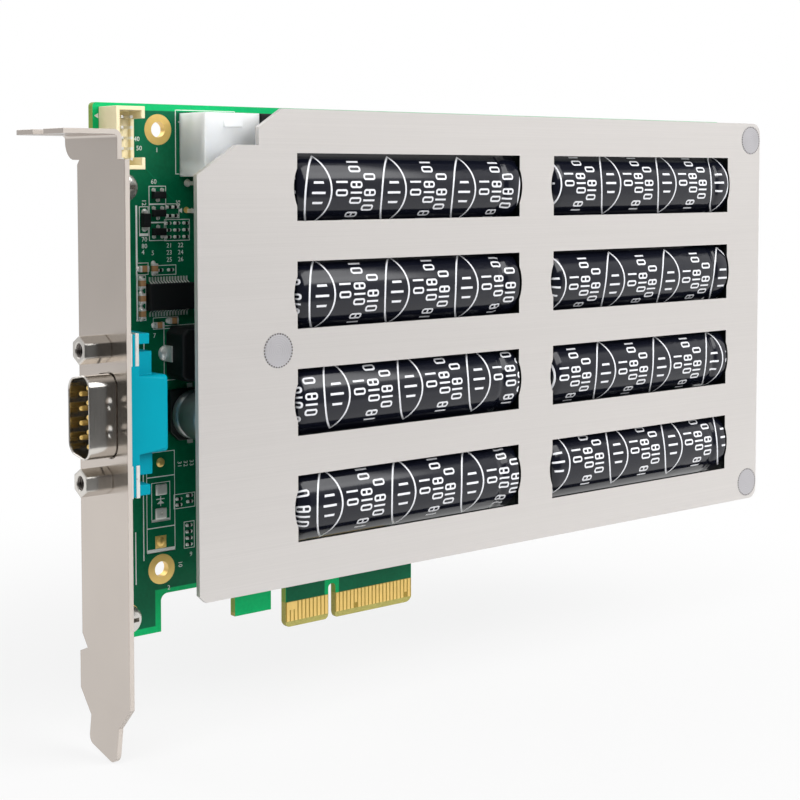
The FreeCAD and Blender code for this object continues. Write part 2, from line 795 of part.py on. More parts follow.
def make_serial_body():
    """Moulded body behind the bracket: flange, main block, two necks and two end arms."""
    top_y = board_front_y - body_height
    half_flange = flange_length / 2
    flange_end_x = flange_back_x + body_flange_thickness
    body = box((flange_back_x, flange_end_x), (top_y, board_front_y), centred(serial_z, flange_length))
    block_corners = [
        (flange_back_x, board_front_y),
        (flange_back_x + body_depth, board_front_y),
        (flange_back_x + body_depth, top_y, body_radius),
        (flange_back_x, top_y)]
    block = plate_xy(block_corners, centred(serial_z, body_length))
    pieces = [block]
    neck_x = (flange_back_x, flange_back_x + neck_depth)
    neck_y = (board_front_y - neck_height, board_front_y)
    pieces.append(box(neck_x, neck_y, centred(serial_z, body_length + 2 * neck_length)))
    cuts = serial_pin_stems() + [make_screw_lock_clips()]
    for side in (-1, 1):
        arm_z = (serial_z + side * half_flange, serial_z + side * (half_flange - arm_length))
        arm_x = (flange_back_x, flange_back_x + arm_depth)
        pieces.append(box(arm_x, (top_y + arm_top_inset, board_front_y), arm_z))
        hole_z = serial_z + side * jack_spacing / 2
        start = (flange_back_x - jack_stud_gap, serial_y, hole_z)
        end = (flange_end_x + jack_stud_gap, serial_y, hole_z)
        cuts.append(rod(start, end, jack_stud_diameter + 2 * jack_stud_gap))
    return body.fuse(pieces).removeSplitter().cut(cuts)


def make_screw_lock_clips():
    """Spring clips on the body's flange, beside the jackscrews."""
    clips = []
    front_y = board_front_y - body_height
    x_range = (flange_back_x, flange_back_x + body_flange_thickness)
    for side in (-1, 1):
        z_range = centred(serial_z + side * jack_spacing / 2, clip_length)
        clip = box(x_range, (front_y, front_y + clip_width), z_range)
        inner_x = flange_back_x + body_flange_thickness / 2
        slot_y = (front_y - clip_slot, front_y + clip_width - clip_slot)
        slot = box(centred(inner_x, clip_slot), slot_y, z_range)
        clips.append(clip.cut(slot))
    return Part.makeCompound(clips)


def make_jackscrews():
    """Hexagonal screw locks with a tapped socket and a stud through the bracket."""
    screws = []
    end_x = bracket_face_x - jack_length
    for side in (-1, 1):
        axis_z = serial_z + side * jack_spacing / 2
        hexagon = plate_yz(polygon((serial_y, axis_z), jack_flats, hexagon_sides), (end_x, bracket_face_x))
        stud_end_x = flange_back_x + body_flange_thickness
        stud = rod((bracket_face_x, serial_y, axis_z), (stud_end_x, serial_y, axis_z), jack_stud_diameter)
        socket_end = (end_x + jack_hole_depth, serial_y, axis_z)
        socket = rod((end_x, serial_y, axis_z), socket_end, jack_hole_diameter)
        screws.append(hexagon.fuse(stud).cut(socket))
    return Part.makeCompound(screws)


def make_power_housing():
    """Natural nylon power header with six wells that open upwards and a locking ramp."""
    left_x, top_z = from_edges(power_from_left, power_from_top)
    bottom_z = top_z - power_height
    front_y = board_front_y - power_depth
    x_range = (left_x, left_x + power_width)
    housing = box(x_range, (front_y, board_front_y), (bottom_z, top_z))
    ramp_top_z = top_z - ramp_from_top
    ramp_bottom_z = ramp_top_z - ramp_height
    ramp_corners = [(front_y, ramp_top_z), (front_y - ramp_reach, ramp_bottom_z), (front_y, ramp_bottom_z)]
    ramp = plate_yz(ramp_corners, centred(left_x + power_width / 2, ramp_width))
    cuts = []
    for pin_x, pin_y, _ in power_pin_places():
        well_z = (top_z - power_cavity_depth, top_z + power_cavity)
        cuts.append(box(centred(pin_x, power_cavity), centred(pin_y, power_cavity), well_z))
    cuts.append(make_power_pins())
    return housing.fuse(ramp).cut(cuts)


def make_power_pins():
    """Square pins of the power header, bent down into the board below the housing."""
    _, top_z = from_edges(power_from_left, power_from_top)
    tip_z = top_z - power_cavity_depth + power_pin_height
    pins = []
    for pin_x, pin_y, tail_z in power_pin_places():
        x_range = centred(pin_x, power_pin)
        upright = box(x_range, centred(pin_y, power_pin), (tail_z - power_pin / 2, tip_z))
        tail = box(x_range, (pin_y - power_pin / 2, tail_y), centred(tail_z, power_pin))
        pins.append(upright.fuse(tail).removeSplitter())
    return Part.makeCompound(pins)


def make_box_housing():
    """Ivory box header: floor, four walls and a latch gap in the wall away from the bracket."""
    middle_x, header_z = from_edges(box_from_left, box_from_top)
    top_y = board_front_y - box_height
    x_range = centred(middle_x, box_width)
    z_range = centred(header_z, box_length)
    housing = box(x_range, (top_y, board_front_y), z_range)
    well_x = centred(middle_x, box_width - 2 * box_wall)
    well_z = centred(header_z, box_length - 2 * box_wall)
    cuts = [box(well_x, (2 * top_y, board_front_y - box_floor), well_z)]
    latch_x = (well_x[1], x_range[1] + box_wall)
    latch_y = (2 * top_y, board_front_y - box_latch_floor)
    cuts.append(box(latch_x, latch_y, centred(header_z, box_latch_length)))
    cuts.append(make_box_pins())
    return housing.cut(cuts)


def make_box_pins():
    """Square pins of the box header."""
    pins = []
    for pin_x, pin_z in box_pin_places():
        y_range = (board_front_y - box_pin_height, tail_y)
        pins.append(box(centred(pin_x, box_pin), y_range, centred(pin_z, box_pin)))
    return Part.makeCompound(pins)


def gull_wing(side, along_x, body_edge_z, span_edge_z, lead_width, mid_y):
    """One lead from a chip's side down to its foot on the board."""
    thick = chip_lead_thickness
    foot_z = span_edge_z - side * chip_lead_foot
    path = [
        (mid_y - thick / 2, body_edge_z),
        (board_front_y - thick, foot_z),
        (board_front_y - thick, span_edge_z),
        (board_front_y, span_edge_z),
        (board_front_y, foot_z),
        (mid_y + thick / 2, body_edge_z)]
    return plate_yz(path, centred(along_x, lead_width))


def chip_lead_row(middle, pitch, count, body_width, span, lead_width, mid_y):
    """Two rows of gull wing leads about a chip's middle."""
    middle_x, chip_z = middle
    leads = []
    for side in (-1, 1):
        for index in range(count):
            along_x = middle_x + (index - (count - 1) / 2) * pitch
            leads.append(gull_wing(side, along_x, chip_z + side * body_width / 2, chip_z + side * span / 2,
                                   lead_width, mid_y))
    return leads


def moulded(x_range, y_range, z_range, draft):
    """Moulded body with edges sloped towards its top, on the component side."""
    body = box(x_range, y_range, z_range)
    top = [edge for edge in body.Edges if abs(edge.BoundBox.YMax - min(y_range)) < same_place]
    return body.makeChamfer(draft, top)


def make_charger_chip():
    """Charger chip's moulded body."""
    middle_x, chip_z = from_edges(chip_from_left, chip_from_top)
    low_y = board_front_y - chip_standoff
    return moulded(centred(middle_x, chip_length), (low_y - chip_height, low_y), centred(chip_z, chip_width),
                   chip_lead_thickness)


def make_charger_leads():
    """Charger chip's leads."""
    middle = from_edges(chip_from_left, chip_from_top)
    mid_y = board_front_y - chip_standoff - chip_height / 2
    return Part.makeCompound(chip_lead_row(middle, chip_lead_pitch, chip_leads_per_side, chip_width,
                                           chip_lead_span, chip_lead_width, mid_y))


def make_power_transistors():
    """Bodies of the two power transistors."""
    bodies = []
    for from_top in power_transistors_from_top:
        middle_x, chip_z = from_edges(power_transistor_from_left, from_top)
        low_y = board_front_y - chip_standoff
        y_range = (low_y - power_transistor_height, low_y)
        bodies.append(moulded(centred(middle_x, power_transistor_length), y_range,
                              centred(chip_z, power_transistor_width), chip_lead_thickness))
    return Part.makeCompound(bodies)


def make_power_transistor_leads():
    """Leads of the two power transistors."""
    leads = []
    mid_y = board_front_y - chip_standoff - power_transistor_height / 2
    for from_top in power_transistors_from_top:
        middle = from_edges(power_transistor_from_left, from_top)
        leads += chip_lead_row(middle, power_transistor_pitch, power_transistor_leads, power_transistor_width,
                               power_transistor_span, power_transistor_lead, mid_y)
    return Part.makeCompound(leads)


def make_inductor():
    """Moulded power inductor with chamfered upright corners."""
    middle_x, middle_up = from_edges(inductor_from_left, inductor_from_top)
    x_range = centred(middle_x, inductor_size)
    z_range = centred(middle_up, inductor_size)
    cut = inductor_chamfer
    corners = [
        (x_range[0] + cut, z_range[0]), (x_range[1] - cut, z_range[0]), (x_range[1], z_range[0] + cut),
        (x_range[1], z_range[1] - cut), (x_range[1] - cut, z_range[1]), (x_range[0] + cut, z_range[1]),
        (x_range[0], z_range[1] - cut), (x_range[0], z_range[0] + cut)]
    top_y = board_front_y - inductor_height
    body = plate_xz(corners, (top_y, board_front_y))
    top = [edge for edge in body.Edges if abs(edge.BoundBox.YMax - top_y) < same_place]
    return body.makeChamfer(inductor_top_easing, top)


def make_inductor_terminals():
    """Folded terminals on the inductor's two sides."""
    middle_x, middle_up = from_edges(inductor_from_left, inductor_from_top)
    terminals = []
    for side in (-1, 1):
        side_x = middle_x + side * inductor_size / 2
        x_range = (side_x, side_x + side * terminal_thickness)
        y_range = (board_front_y - terminal_height, board_front_y)
        terminals.append(box(x_range, y_range, centred(middle_up, terminal_width)))
    return Part.makeCompound(terminals)


def make_filter_base():
    """Square seat of the filter capacitor, with two cut corners and its two feet."""
    middle_x, middle_up = from_edges(filter_from_left, filter_from_top)
    x_range = centred(middle_x, filter_base_size)
    z_range = centred(middle_up, filter_base_size)
    cut = filter_base_chamfer
    corners = [
        (x_range[0] + cut, z_range[0]), (x_range[1] - cut, z_range[0]), (x_range[1], z_range[0] + cut),
        (x_range[1], z_range[1]), (x_range[0], z_range[1]), (x_range[0], z_range[0] + cut)]
    return plate_xz(corners, (board_front_y - filter_base_height, board_front_y))


def make_filter_feet():
    """Flat leads that reach out under the filter capacitor's seat."""
    middle_x, middle_up = from_edges(filter_from_left, filter_from_top)
    feet = []
    for side in (-1, 1):
        edge_z = middle_up + side * filter_base_size / 2
        feet.append(box(centred(middle_x, filter_foot_width),
                        (board_front_y - filter_foot_thickness, board_front_y),
                        (edge_z, edge_z + side * filter_foot_reach)))
    return Part.makeCompound(feet)


def make_filter_can():
    """Aluminium can of the filter capacitor, eased at its top."""
    middle_x, middle_up = from_edges(filter_from_left, filter_from_top)
    radius = filter_diameter / 2
    height = filter_height - filter_base_height
    profile = [
        (0, 0),
        (0, radius),
        (height - filter_top_easing, radius),
        (height, radius - filter_top_easing),
        (height, 0)]
    start = (middle_x, board_front_y - filter_base_height, middle_up)
    return turned(profile, start, Vector(0, -1, 0), Vector(1, 0, 0))


def make_transistors():
    """Bodies of the small transistors."""
    bodies = []
    low_y = board_front_y - chip_standoff
    for from_top in transistors_from_top:
        middle_x, middle_up = from_edges(transistor_from_left, from_top)
        bodies.append(moulded(centred(middle_x, transistor_length), (low_y - transistor_height, low_y),
                              centred(middle_up, transistor_width), transistor_lead_thickness))
    return Part.makeCompound(bodies)


def make_transistor_leads():
    """Leads of the small transistors, a pair on one side and one on the other."""
    leads = []
    for from_top, pair_up in zip(transistors_from_top, transistor_up_pairs):
        middle_x, middle_up = from_edges(transistor_from_left, from_top)
        pair_side = 1 if pair_up else -1
        half = transistor_lead_pitch / 2
        for offset_x, side in ((-half, pair_side), (half, pair_side), (0, -pair_side)):
            edge_z = middle_up + side * transistor_width / 2
            leads.append(box(centred(middle_x + offset_x, transistor_lead),
                             (board_front_y - transistor_height / 2, board_front_y),
                             (edge_z, edge_z + side * transistor_lead_reach)))
    return Part.makeCompound(leads)


def make_diodes():
    """Bodies of the signal diode and of the power diode by the top edge."""
    low_y = board_front_y - chip_standoff
    signal_x, signal_z = from_edges(signal_diode_from_left, signal_diode_from_top)
    power_x, power_z = from_edges(power_diode_from_left, power_diode_from_top)
    return Part.makeCompound([
        moulded(centred(signal_x, signal_diode_width), (low_y - signal_diode_height, low_y),
                centred(signal_z, signal_diode_length), chip_standoff),
        moulded(centred(power_x, power_diode_length), (low_y - power_diode_height, low_y),
                centred(power_z, power_diode_width), diode_terminal_thickness)])


def make_diode_terminals():
    """Flat terminals at both ends of each diode."""
    signal_x, signal_z = from_edges(signal_diode_from_left, signal_diode_from_top)
    power_x, power_z = from_edges(power_diode_from_left, power_diode_from_top)
    terminals = []
    for side in (-1, 1):
        signal_edge = signal_z + side * signal_diode_length / 2
        terminals.append(box(centred(signal_x, signal_diode_terminal),
                             (board_front_y - signal_diode_height / 2, board_front_y),
                             (signal_edge, signal_z + side * signal_diode_span / 2)))
        power_edge = power_x + side * power_diode_length / 2
        terminals.append(box((power_edge, power_x + side * power_diode_span / 2),
                             (board_front_y - power_diode_height / 2, board_front_y),
                             centred(power_z, power_diode_terminal)))
    return Part.makeCompound(terminals)


def chip_block(middle, long_size, wide_size, height, upright):
    """Small ceramic block on the board, lying along X or standing along Z."""
    middle_x, middle_up = middle
    x_size, z_size = (wide_size, long_size) if upright else (long_size, wide_size)
    return box(centred(middle_x, x_size), (board_front_y - height, board_front_y), centred(middle_up, z_size))


def make_resistors():
    """Chip resistors, in a grid and singly."""
    places = [(left, top) for top in resistor_rows_from_top for left in resistor_columns_from_left]
    places += list(single_resistors)
    return Part.makeCompound([
        chip_block(from_edges(left, top), resistor_length, resistor_width, resistor_height, False)
        for left, top in places])


def make_ceramic_capacitors():
    """Chip capacitors, lying along X or standing along Z."""
    blocks = []
    for places, upright in ((flat_capacitors, False), (upright_capacitors, True)):
        for left, top in places:
            blocks.append(chip_block(from_edges(left, top), capacitor_length, capacitor_width,
                                     capacitor_height, upright))
    return Part.makeCompound(blocks)


def make_balance_resistors():
    """One balancing resistor beside each cell's leads."""
    blocks = []
    for start_x, axis_z in cell_places():
        middle_x = start_x + cell_length + cell_lead_reach + balance_from_lead
        blocks.append(chip_block((middle_x, axis_z), balance_length, balance_width, balance_height, True))
    return Part.makeCompound(blocks)


nodes = {
    "circuit_board": make_board(),
    "edge_contacts": make_edge_contacts(),
    "bracket": make_bracket(),
    "bracket_lugs": make_bracket_lugs(),
    "cover_plate": make_cover(),
    "cover_standoffs": make_standoffs(),
    "serial_shell": make_serial_shell(),
    "serial_insulator": make_serial_insulator(),
    "serial_body": make_serial_body(),
    "serial_pins": make_serial_pins(),
    "screw_lock_clips": make_screw_lock_clips(),
    "jackscrews": make_jackscrews(),
    "power_header": make_power_housing(),
    "power_header_pins": make_power_pins(),
    "box_header": make_box_housing(),
    "box_header_pins": make_box_pins(),
    "charger_chip": make_charger_chip(),
    "charger_chip_leads": make_charger_leads(),
    "power_transistors": make_power_transistors(),
    "power_transistor_leads": make_power_transistor_leads(),
    "inductor": make_inductor(),
    "inductor_terminals": make_inductor_terminals(),
    "filter_capacitor_base": make_filter_base(),
    "filter_capacitor_can": make_filter_can(),
    "filter_capacitor_feet": make_filter_feet(),
    "small_transistors": make_transistors(),
    "small_transistor_leads": make_transistor_leads(),
    "diodes": make_diodes(),
    "diode_terminals": make_diode_terminals(),
    "chip_resistors": make_resistors(),
    "ceramic_capacitors": make_ceramic_capacitors(),
    "balance_resistors": make_balance_resistors(),
    "supercapacitors": Part.makeCompound([make_cell(start_x, axis_z) for start_x, axis_z in cell_places()]),
}

os.makedirs("parts", exist_ok=True)
for name, shape in nodes.items():
    shape.exportStep("parts/%s.step" % name)
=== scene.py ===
"""Dresses a supercapacitor backup card: finishes for its solids, and the fine pieces they leave out."""

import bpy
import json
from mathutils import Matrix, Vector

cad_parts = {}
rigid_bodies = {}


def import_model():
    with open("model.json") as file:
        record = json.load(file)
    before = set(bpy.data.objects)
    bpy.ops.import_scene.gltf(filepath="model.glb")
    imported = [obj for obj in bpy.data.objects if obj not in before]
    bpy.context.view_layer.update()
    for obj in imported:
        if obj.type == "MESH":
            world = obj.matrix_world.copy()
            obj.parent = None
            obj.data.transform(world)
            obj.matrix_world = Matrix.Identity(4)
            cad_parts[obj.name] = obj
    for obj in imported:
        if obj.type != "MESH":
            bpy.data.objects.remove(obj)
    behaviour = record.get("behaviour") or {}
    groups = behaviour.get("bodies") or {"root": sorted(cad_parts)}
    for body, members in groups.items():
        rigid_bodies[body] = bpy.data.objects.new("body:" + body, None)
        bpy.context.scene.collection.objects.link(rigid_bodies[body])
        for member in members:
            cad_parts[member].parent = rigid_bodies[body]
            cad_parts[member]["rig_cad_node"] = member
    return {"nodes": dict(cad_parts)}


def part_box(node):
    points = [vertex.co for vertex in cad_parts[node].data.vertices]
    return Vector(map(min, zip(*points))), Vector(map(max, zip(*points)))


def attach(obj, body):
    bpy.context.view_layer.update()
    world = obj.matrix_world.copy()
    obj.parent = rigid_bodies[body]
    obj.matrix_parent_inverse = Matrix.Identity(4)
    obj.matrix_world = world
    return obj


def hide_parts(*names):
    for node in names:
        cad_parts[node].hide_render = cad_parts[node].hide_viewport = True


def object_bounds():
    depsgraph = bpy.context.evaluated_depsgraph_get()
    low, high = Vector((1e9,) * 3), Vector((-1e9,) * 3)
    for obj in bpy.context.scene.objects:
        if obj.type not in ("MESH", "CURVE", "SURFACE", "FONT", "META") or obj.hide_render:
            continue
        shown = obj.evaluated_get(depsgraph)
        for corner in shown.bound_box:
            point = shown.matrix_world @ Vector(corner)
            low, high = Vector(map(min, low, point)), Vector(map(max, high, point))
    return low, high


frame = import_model()
cad_box = [list(corner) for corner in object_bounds()]

import json
import math

import bmesh
import bpy
from bpy.props import FloatProperty, FloatVectorProperty, IntProperty, PointerProperty
from mathutils import Vector

bl_info = {
    "name": "Supercapacitor backup card",
    "version": (1, 0, 0),
    "blender": (4, 5, 0),
    "location": "View3D > Sidebar > Card",
    "description": "Finishes and fine pieces of a backup card with eight supercapacitors",
    "category": "Object",
}

MM = 0.001
MERGE_DISTANCE = 0.001 * MM
UP = Vector((0, 0, 1))
TO_FRONT = Vector((0, -1, 0))
TO_BACK = Vector((0, 1, 0))
TO_BRACKET = Vector((-1, 0, 0))
TO_FAR_END = Vector((1, 0, 0))

# Places on the board, from its bracket end and from its top edge, in millimetres
FIXING_HOLES = ((14.3, 5.0), (14.3, 92.19))
LUG_SCREWS = ((6.3, 16.29), (6.3, 100.89))
TEST_POINTS = ((14.2, 70.79), (14.15, 86.69))
PROBE_PAD = (20.63, 20.81)
SOLDER_SPOT = (20.95, 15.45)
EMPTY_DIODE_PADS = ((14.2, 76.19), (14.1, 80.94))


def linear(*levels):
    """Scene colour of display levels from 0 to 255."""
    parts = [level / 255 for level in levels]
    return tuple(
        part / 12.92 if part <= 0.04045 else ((part + 0.055) / 1.055) ** 2.4 for part in parts)


def length(name, description, millimetres):
    """A property that holds a length, given in millimetres and kept in metres."""
    return FloatProperty(
        name=name, description=description, default=millimetres * MM, min=0, precision=5,
        unit="LENGTH")


def tint(name, description, *levels):
    """A property that holds a colour, given in display levels."""
    return FloatVectorProperty(
        name=name, description=description, default=linear(*levels), size=3, min=0, max=1,
        subtype="COLOR")


def light_level(name, description, amount):
    """A property that holds a level of light."""
    return FloatProperty(name=name, description=description, default=amount, min=0)


class CardColours(bpy.types.PropertyGroup):
    """Colours of the card's finishes."""
    mask_on_copper: tint("Mask over copper", "Solder mask where copper lies under it", 2, 100, 66)
    mask_on_board: tint("Mask over laminate", "Solder mask where no copper lies under it", 0, 192, 112)
    laminate_gap: tint("Laminate between pads", "Bare laminate between the finger pads", 168, 142, 66)
    laminate: tint("Laminate", "Bare glass laminate at the fingers", 200, 192, 112)
    laminate_edge: tint("Laminate edge", "Cut edges of the board, with mask run over them", 142, 168, 84)
    gold: tint("Gold", "Gold of the finger pads, rings and pins", 246, 208, 124)
    nickel: tint("Nickel", "Plating of the bracket", 200, 191, 183)
    shell: tint("Shell", "Bright plating of the serial connector's shell", 214, 210, 204)
    cover: tint("Cover steel", "Brushed steel of the cover", 209, 205, 202)
    plated: tint("Plated steel", "Plating of the standoffs, lugs and screws", 214, 211, 206)
    teal: tint("Teal", "Body of the serial connector", 0, 148, 168)
    black: tint("Black plastic", "Connector insulator and capacitor seat", 12, 18, 17)
    ivory: tint("Ivory", "Box header", 242, 228, 186)
    nylon: tint("Nylon", "Natural nylon of the power header", 248, 252, 248)
    moulding: tint("Chip moulding", "Epoxy of the chips and of the inductor", 20, 22, 24)
    tinned: tint("Tinned metal", "Leads, terminals and solder", 236, 236, 233)
    can: tint("Can", "Aluminium of the filter capacitor", 176, 180, 182)
    ceramic: tint("Tan ceramic", "Chip capacitors", 168, 128, 88)
    sleeve: tint("Sleeve", "Shrink sleeve of the cells", 14, 16, 27)
    sleeve_print: tint("Sleeve print", "Marks printed on the sleeves", 230, 231, 235)
    # Painted shade: this dark colour stands in for the shade on the jackscrew threads and in the gaps of
    # the serrated rims
    painted_shade_steel: tint("Painted shade steel", "Threads and the gaps of serrated rims", 112, 106, 102)
    head: tint("Standoff head", "Turned head of a standoff", 188, 186, 189)
    ink: tint("Board print", "White print on the board", 232, 236, 232)


class CardSizes(bpy.types.PropertyGroup):
    """Sizes of the fine pieces."""
    copper_margin: length("Copper margin", "Laminate left bare of copper along the board's edges", 1.3)
    finger_top: length("Finger top", "Height of the unmasked strip of the edge fingers", 5.45)
    main_edge: length("Main edge", "Height of the board's long lower edge", 12.3)
    foot_length: length("Foot length", "Foot of the board at its bracket end", 14.1)
    foot_bottom: length("Foot bottom", "Height of that foot's lower edge", 4.7)
    brush_pitch: length("Brush pitch", "Spacing of the cover's brush marks", 0.16)
    cell_sides: IntProperty(name="Cell sides", description="Faces round a cell", default=72, min=24)
    shoulder_length: length("Shoulder length", "Rounded part of a sleeve at a can's closed end", 2.8)
    shoulder_depth: length("Shoulder depth", "How far the sleeve draws in there", 1.6)
    bead_depth: length("Bead depth", "Groove rolled near a cell's sealed end", 0.28)
    sealed_easing: length("Sealed end easing", "Rounded edge at a cell's sealed end", 0.4)
    sleeve_fold: length("Sleeve fold", "How far the sleeve folds over a cell's ends", 1.9)
    print_pitch: length("Print pitch", "Repeat of the print along a sleeve", 19.4)
    print_stroke: length("Print stroke", "Width of the printed lines", 0.4)
    lead_diameter: length("Lead diameter", "Wire of a cell's leads", 0.7)
    lead_spacing: length("Lead spacing", "Between the two leads of a cell", 7.5)
    lead_reach: length("Lead reach", "From a cell's sealed end to the middle of its leads' bends", 3.2)
    screw_head: length("Screw head", "Diameter of the screw heads", 5.6)
    screw_head_height: length("Screw head height", "Height of the screw heads", 2.0)
    screw_shank: length("Screw shank", "Diameter of the screws' threads", 2.6)
    screw_recess: length("Screw recess", "Width of the cross recess", 0.8)
    ring_diameter: length("Ring diameter", "Gold ring round a screw hole", 6.05)
    hole_diameter: length("Hole diameter", "Screw holes of the board", 3.2)
    plating: length("Plating", "Height of the gold rings and pads above the board", 0.05)
    joint_diameter: length("Joint diameter", "Foot of a solder joint", 1.9)
    joint_height: length("Joint height", "Solder joint above the board", 0.9)
    chip_cap: length("Chip cap", "Tinned end of the smallest chips", 0.22)
    print_line: length("Print line", "Width of the board's printed lines", 0.14)
    print_height: length("Print height", "Thickness of the board's print", 0.02)
    number_height: length("Number height", "Height of the board's printed numbers", 1.3)
    rim_teeth: IntProperty(
        name="Rim teeth", description="Serrations round a standoff's head", default=34, min=12)
    rim_width: length("Rim width", "Width of the serrated rim", 0.3)


class StudioSetup(bpy.types.PropertyGroup):
    """Camera, light and floor."""
    camera_place: FloatVectorProperty(
        name="Camera place", description="Where the camera stands", size=3, subtype="XYZ", unit="LENGTH",
        default=(-206.575 * MM, -278.385 * MM, 95.179 * MM))
    camera_yaw: FloatProperty(
        name="Camera yaw", description="Turn from straight on towards the far end", default=0.6823,
        subtype="ANGLE")
    camera_pitch: FloatProperty(
        name="Camera pitch", description="Downward tilt", default=0.05714, subtype="ANGLE")
    camera_lens: FloatProperty(
        name="Lens", description="Focal length in millimetres", default=73.0, min=1)
    camera_shift: FloatProperty(name="Shift", description="Vertical shift of the frame", default=-0.1625)
    ambient: light_level("Ambient", "Level of the all round light", 0.26)
    horizon: light_level("Horizon", "Mirrored level behind the card", 0.66)
    panel: light_level("Panel", "Mirrored level of the panel to the front right", 1.0)
    dark_front: light_level("Dark front", "Mirrored level of the dim front", 0.1)
    floor_size: FloatProperty(
        name="Floor size", description="Side of the floor", default=0.76, min=0.3, unit="LENGTH")


# Selecting, placing and copying

def pick(*pieces):
    """Selects only these objects, the last one active, in object mode."""
    if bpy.context.mode != "OBJECT":
        bpy.ops.object.mode_set(mode="OBJECT")
    bpy.ops.object.select_all(action="DESELECT")
    for piece in pieces:
        piece.select_set(True)
        bpy.context.view_layer.objects.active = piece


def edit(piece):
    """Opens a piece in edit mode with all of it selected."""
    pick(piece)
    bpy.ops.object.mode_set(mode="EDIT")
    bpy.ops.mesh.select_all(action="SELECT")


def settle(piece, place, axis=UP):
    """Turns a piece from Z to an axis, moves it to its place and keeps both in its mesh."""
    piece.rotation_euler = UP.rotation_difference(axis).to_euler()
    piece.location = place
    pick(piece)
    bpy.ops.object.transform_apply(location=True, rotation=True, scale=True)
    return piece


def copy_to(piece, places, axis=UP):
    """Puts a piece at the first place and a copy of it, with its own mesh, at each other one."""
    pieces = [piece]
    for _ in places[1:]:
        pick(piece)
        bpy.ops.object.duplicate()
        pieces.append(bpy.context.object)
    for copy, place in zip(pieces, places):
        settle(copy, place, axis)
    return pieces


def join(name, pieces):
    """Makes one piece of several."""
    pick(*pieces)
    if len(pieces) > 1:
        bpy.ops.object.join()
    piece = bpy.context.object
    piece.name = name
    piece.data.name = name
    return piece


def apply_modifier(piece, kind, **settings):
    """Adds a modifier, sets it and applies it."""
    pick(piece)
    modifier = piece.modifiers.new(kind.title(), kind)
    for setting, value in settings.items():
        setattr(modifier, setting, value)
    bpy.ops.object.modifier_apply(modifier=modifier.name)


def smooth(piece, degrees=35):
    """Shades a piece smooth except at its sharp edges."""
    pick(piece)
    bpy.ops.object.shade_smooth_by_angle(angle=math.radians(degrees))


def close_up():
    """Points the faces of the piece in edit mode outwards and goes back to object mode."""
    bpy.ops.mesh.select_all(action="SELECT")
    bpy.ops.mesh.normals_make_consistent(inside=False)
    bpy.ops.object.mode_set(mode="OBJECT")


def hand_in(piece, slot, *replaced, finish=None):
    """Ties a piece to the card in place of solids, with its slot's finish unless another is named."""
    if not piece.data.materials:
        piece.data.materials.append(finishes()[finish or slot])
    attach(piece, "root")
    if replaced:
        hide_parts(*replaced)


def solid_boxes(node):
    """Low and high corner of each solid of a node, read from a merged copy that is then deleted."""
    pick(frame["nodes"][node])
    bpy.ops.object.duplicate()
    edit(bpy.context.object)
    bpy.ops.mesh.remove_doubles(threshold=MERGE_DISTANCE)
    bpy.ops.mesh.separate(type="LOOSE")
    bpy.ops.object.mode_set(mode="OBJECT")
    boxes = []
    for solid in bpy.context.selected_objects:
        points = [vertex.co for vertex in solid.data.vertices]
        low = Vector([min(point[axis] for point in points) for axis in range(3)])
        high = Vector([max(point[axis] for point in points) for axis in range(3)])
        boxes.append((low, high))
    bpy.ops.object.delete()
    return sorted(boxes, key=lambda corners: (-round(corners[0].z, 4), corners[0].x))


def merged_copy(node, name):
    """Copy of a solid's mesh with its triangles merged into whole faces."""
    pick(frame["nodes"][node])
    bpy.ops.object.duplicate()
    piece = bpy.context.object
    del piece["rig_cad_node"]
    piece.name = name
    piece.data.name = name
    edit(piece)
    bpy.ops.mesh.customdata_custom_splitnormals_clear()
    bpy.ops.mesh.remove_doubles(threshold=MERGE_DISTANCE)
    bpy.ops.mesh.dissolve_limited(angle_limit=math.radians(1))
    bpy.ops.object.mode_set(mode="OBJECT")
    return piece


def ease(piece, easing):
    """Rounds the sharp edges of a piece and keeps its wide faces flat in the light."""
    pick(piece)
    bpy.ops.object.shade_smooth()
    apply_modifier(
        piece, "BEVEL", width=easing, segments=2, limit_method="ANGLE",
        angle_limit=math.radians(40), harden_normals=True)


def cut_away(piece, cutter):
    """Takes one piece out of another."""
    apply_modifier(piece, "BOOLEAN", object=cutter, operation="DIFFERENCE", solver="EXACT")
    pick(cutter)
    bpy.ops.object.delete()
    edit(piece)
    bpy.ops.mesh.dissolve_degenerate(threshold=2 * MERGE_DISTANCE)
    bpy.ops.object.mode_set(mode="OBJECT")


def on_board(from_left, from_top):
    """Place on the front of the board, from its bracket end and its top edge in millimetres."""
    low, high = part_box("circuit_board")
    return Vector((low.x + from_left * MM, low.y, high.z - from_top * MM))


def middle_at(corners, depth):
    """Middle of a box as seen from the front, at a depth along Y."""
    low, high = corners
    return Vector(((low.x + high.x) / 2, depth, (low.z + high.z) / 2))


def cell_lead_bends(sizes):
    """Where the axes of the two leads of each cell turn towards the board."""
    bends = []
    for low, high in solid_boxes("supercapacitors"):
        radius = (high.z - low.z) / 2
        for side in (-1, 1):
            place_z = low.z + radius + side * sizes.lead_spacing / 2
            bends.append(Vector((high.x - sizes.lead_diameter / 2, low.y + radius, place_z)))
    return bends


# Shapes

def in_millimetres(rings):
    """Rings of (height, radius) in metres, from rings in millimetres."""
    return [(height * MM, radius * MM) for height, radius in rings]


def in_shares(rings, tall, wide):
    """Rings of (height, radius), from rings in shares of a height and of a radius."""
    return [(height * tall, radius * wide) for height, radius in rings]


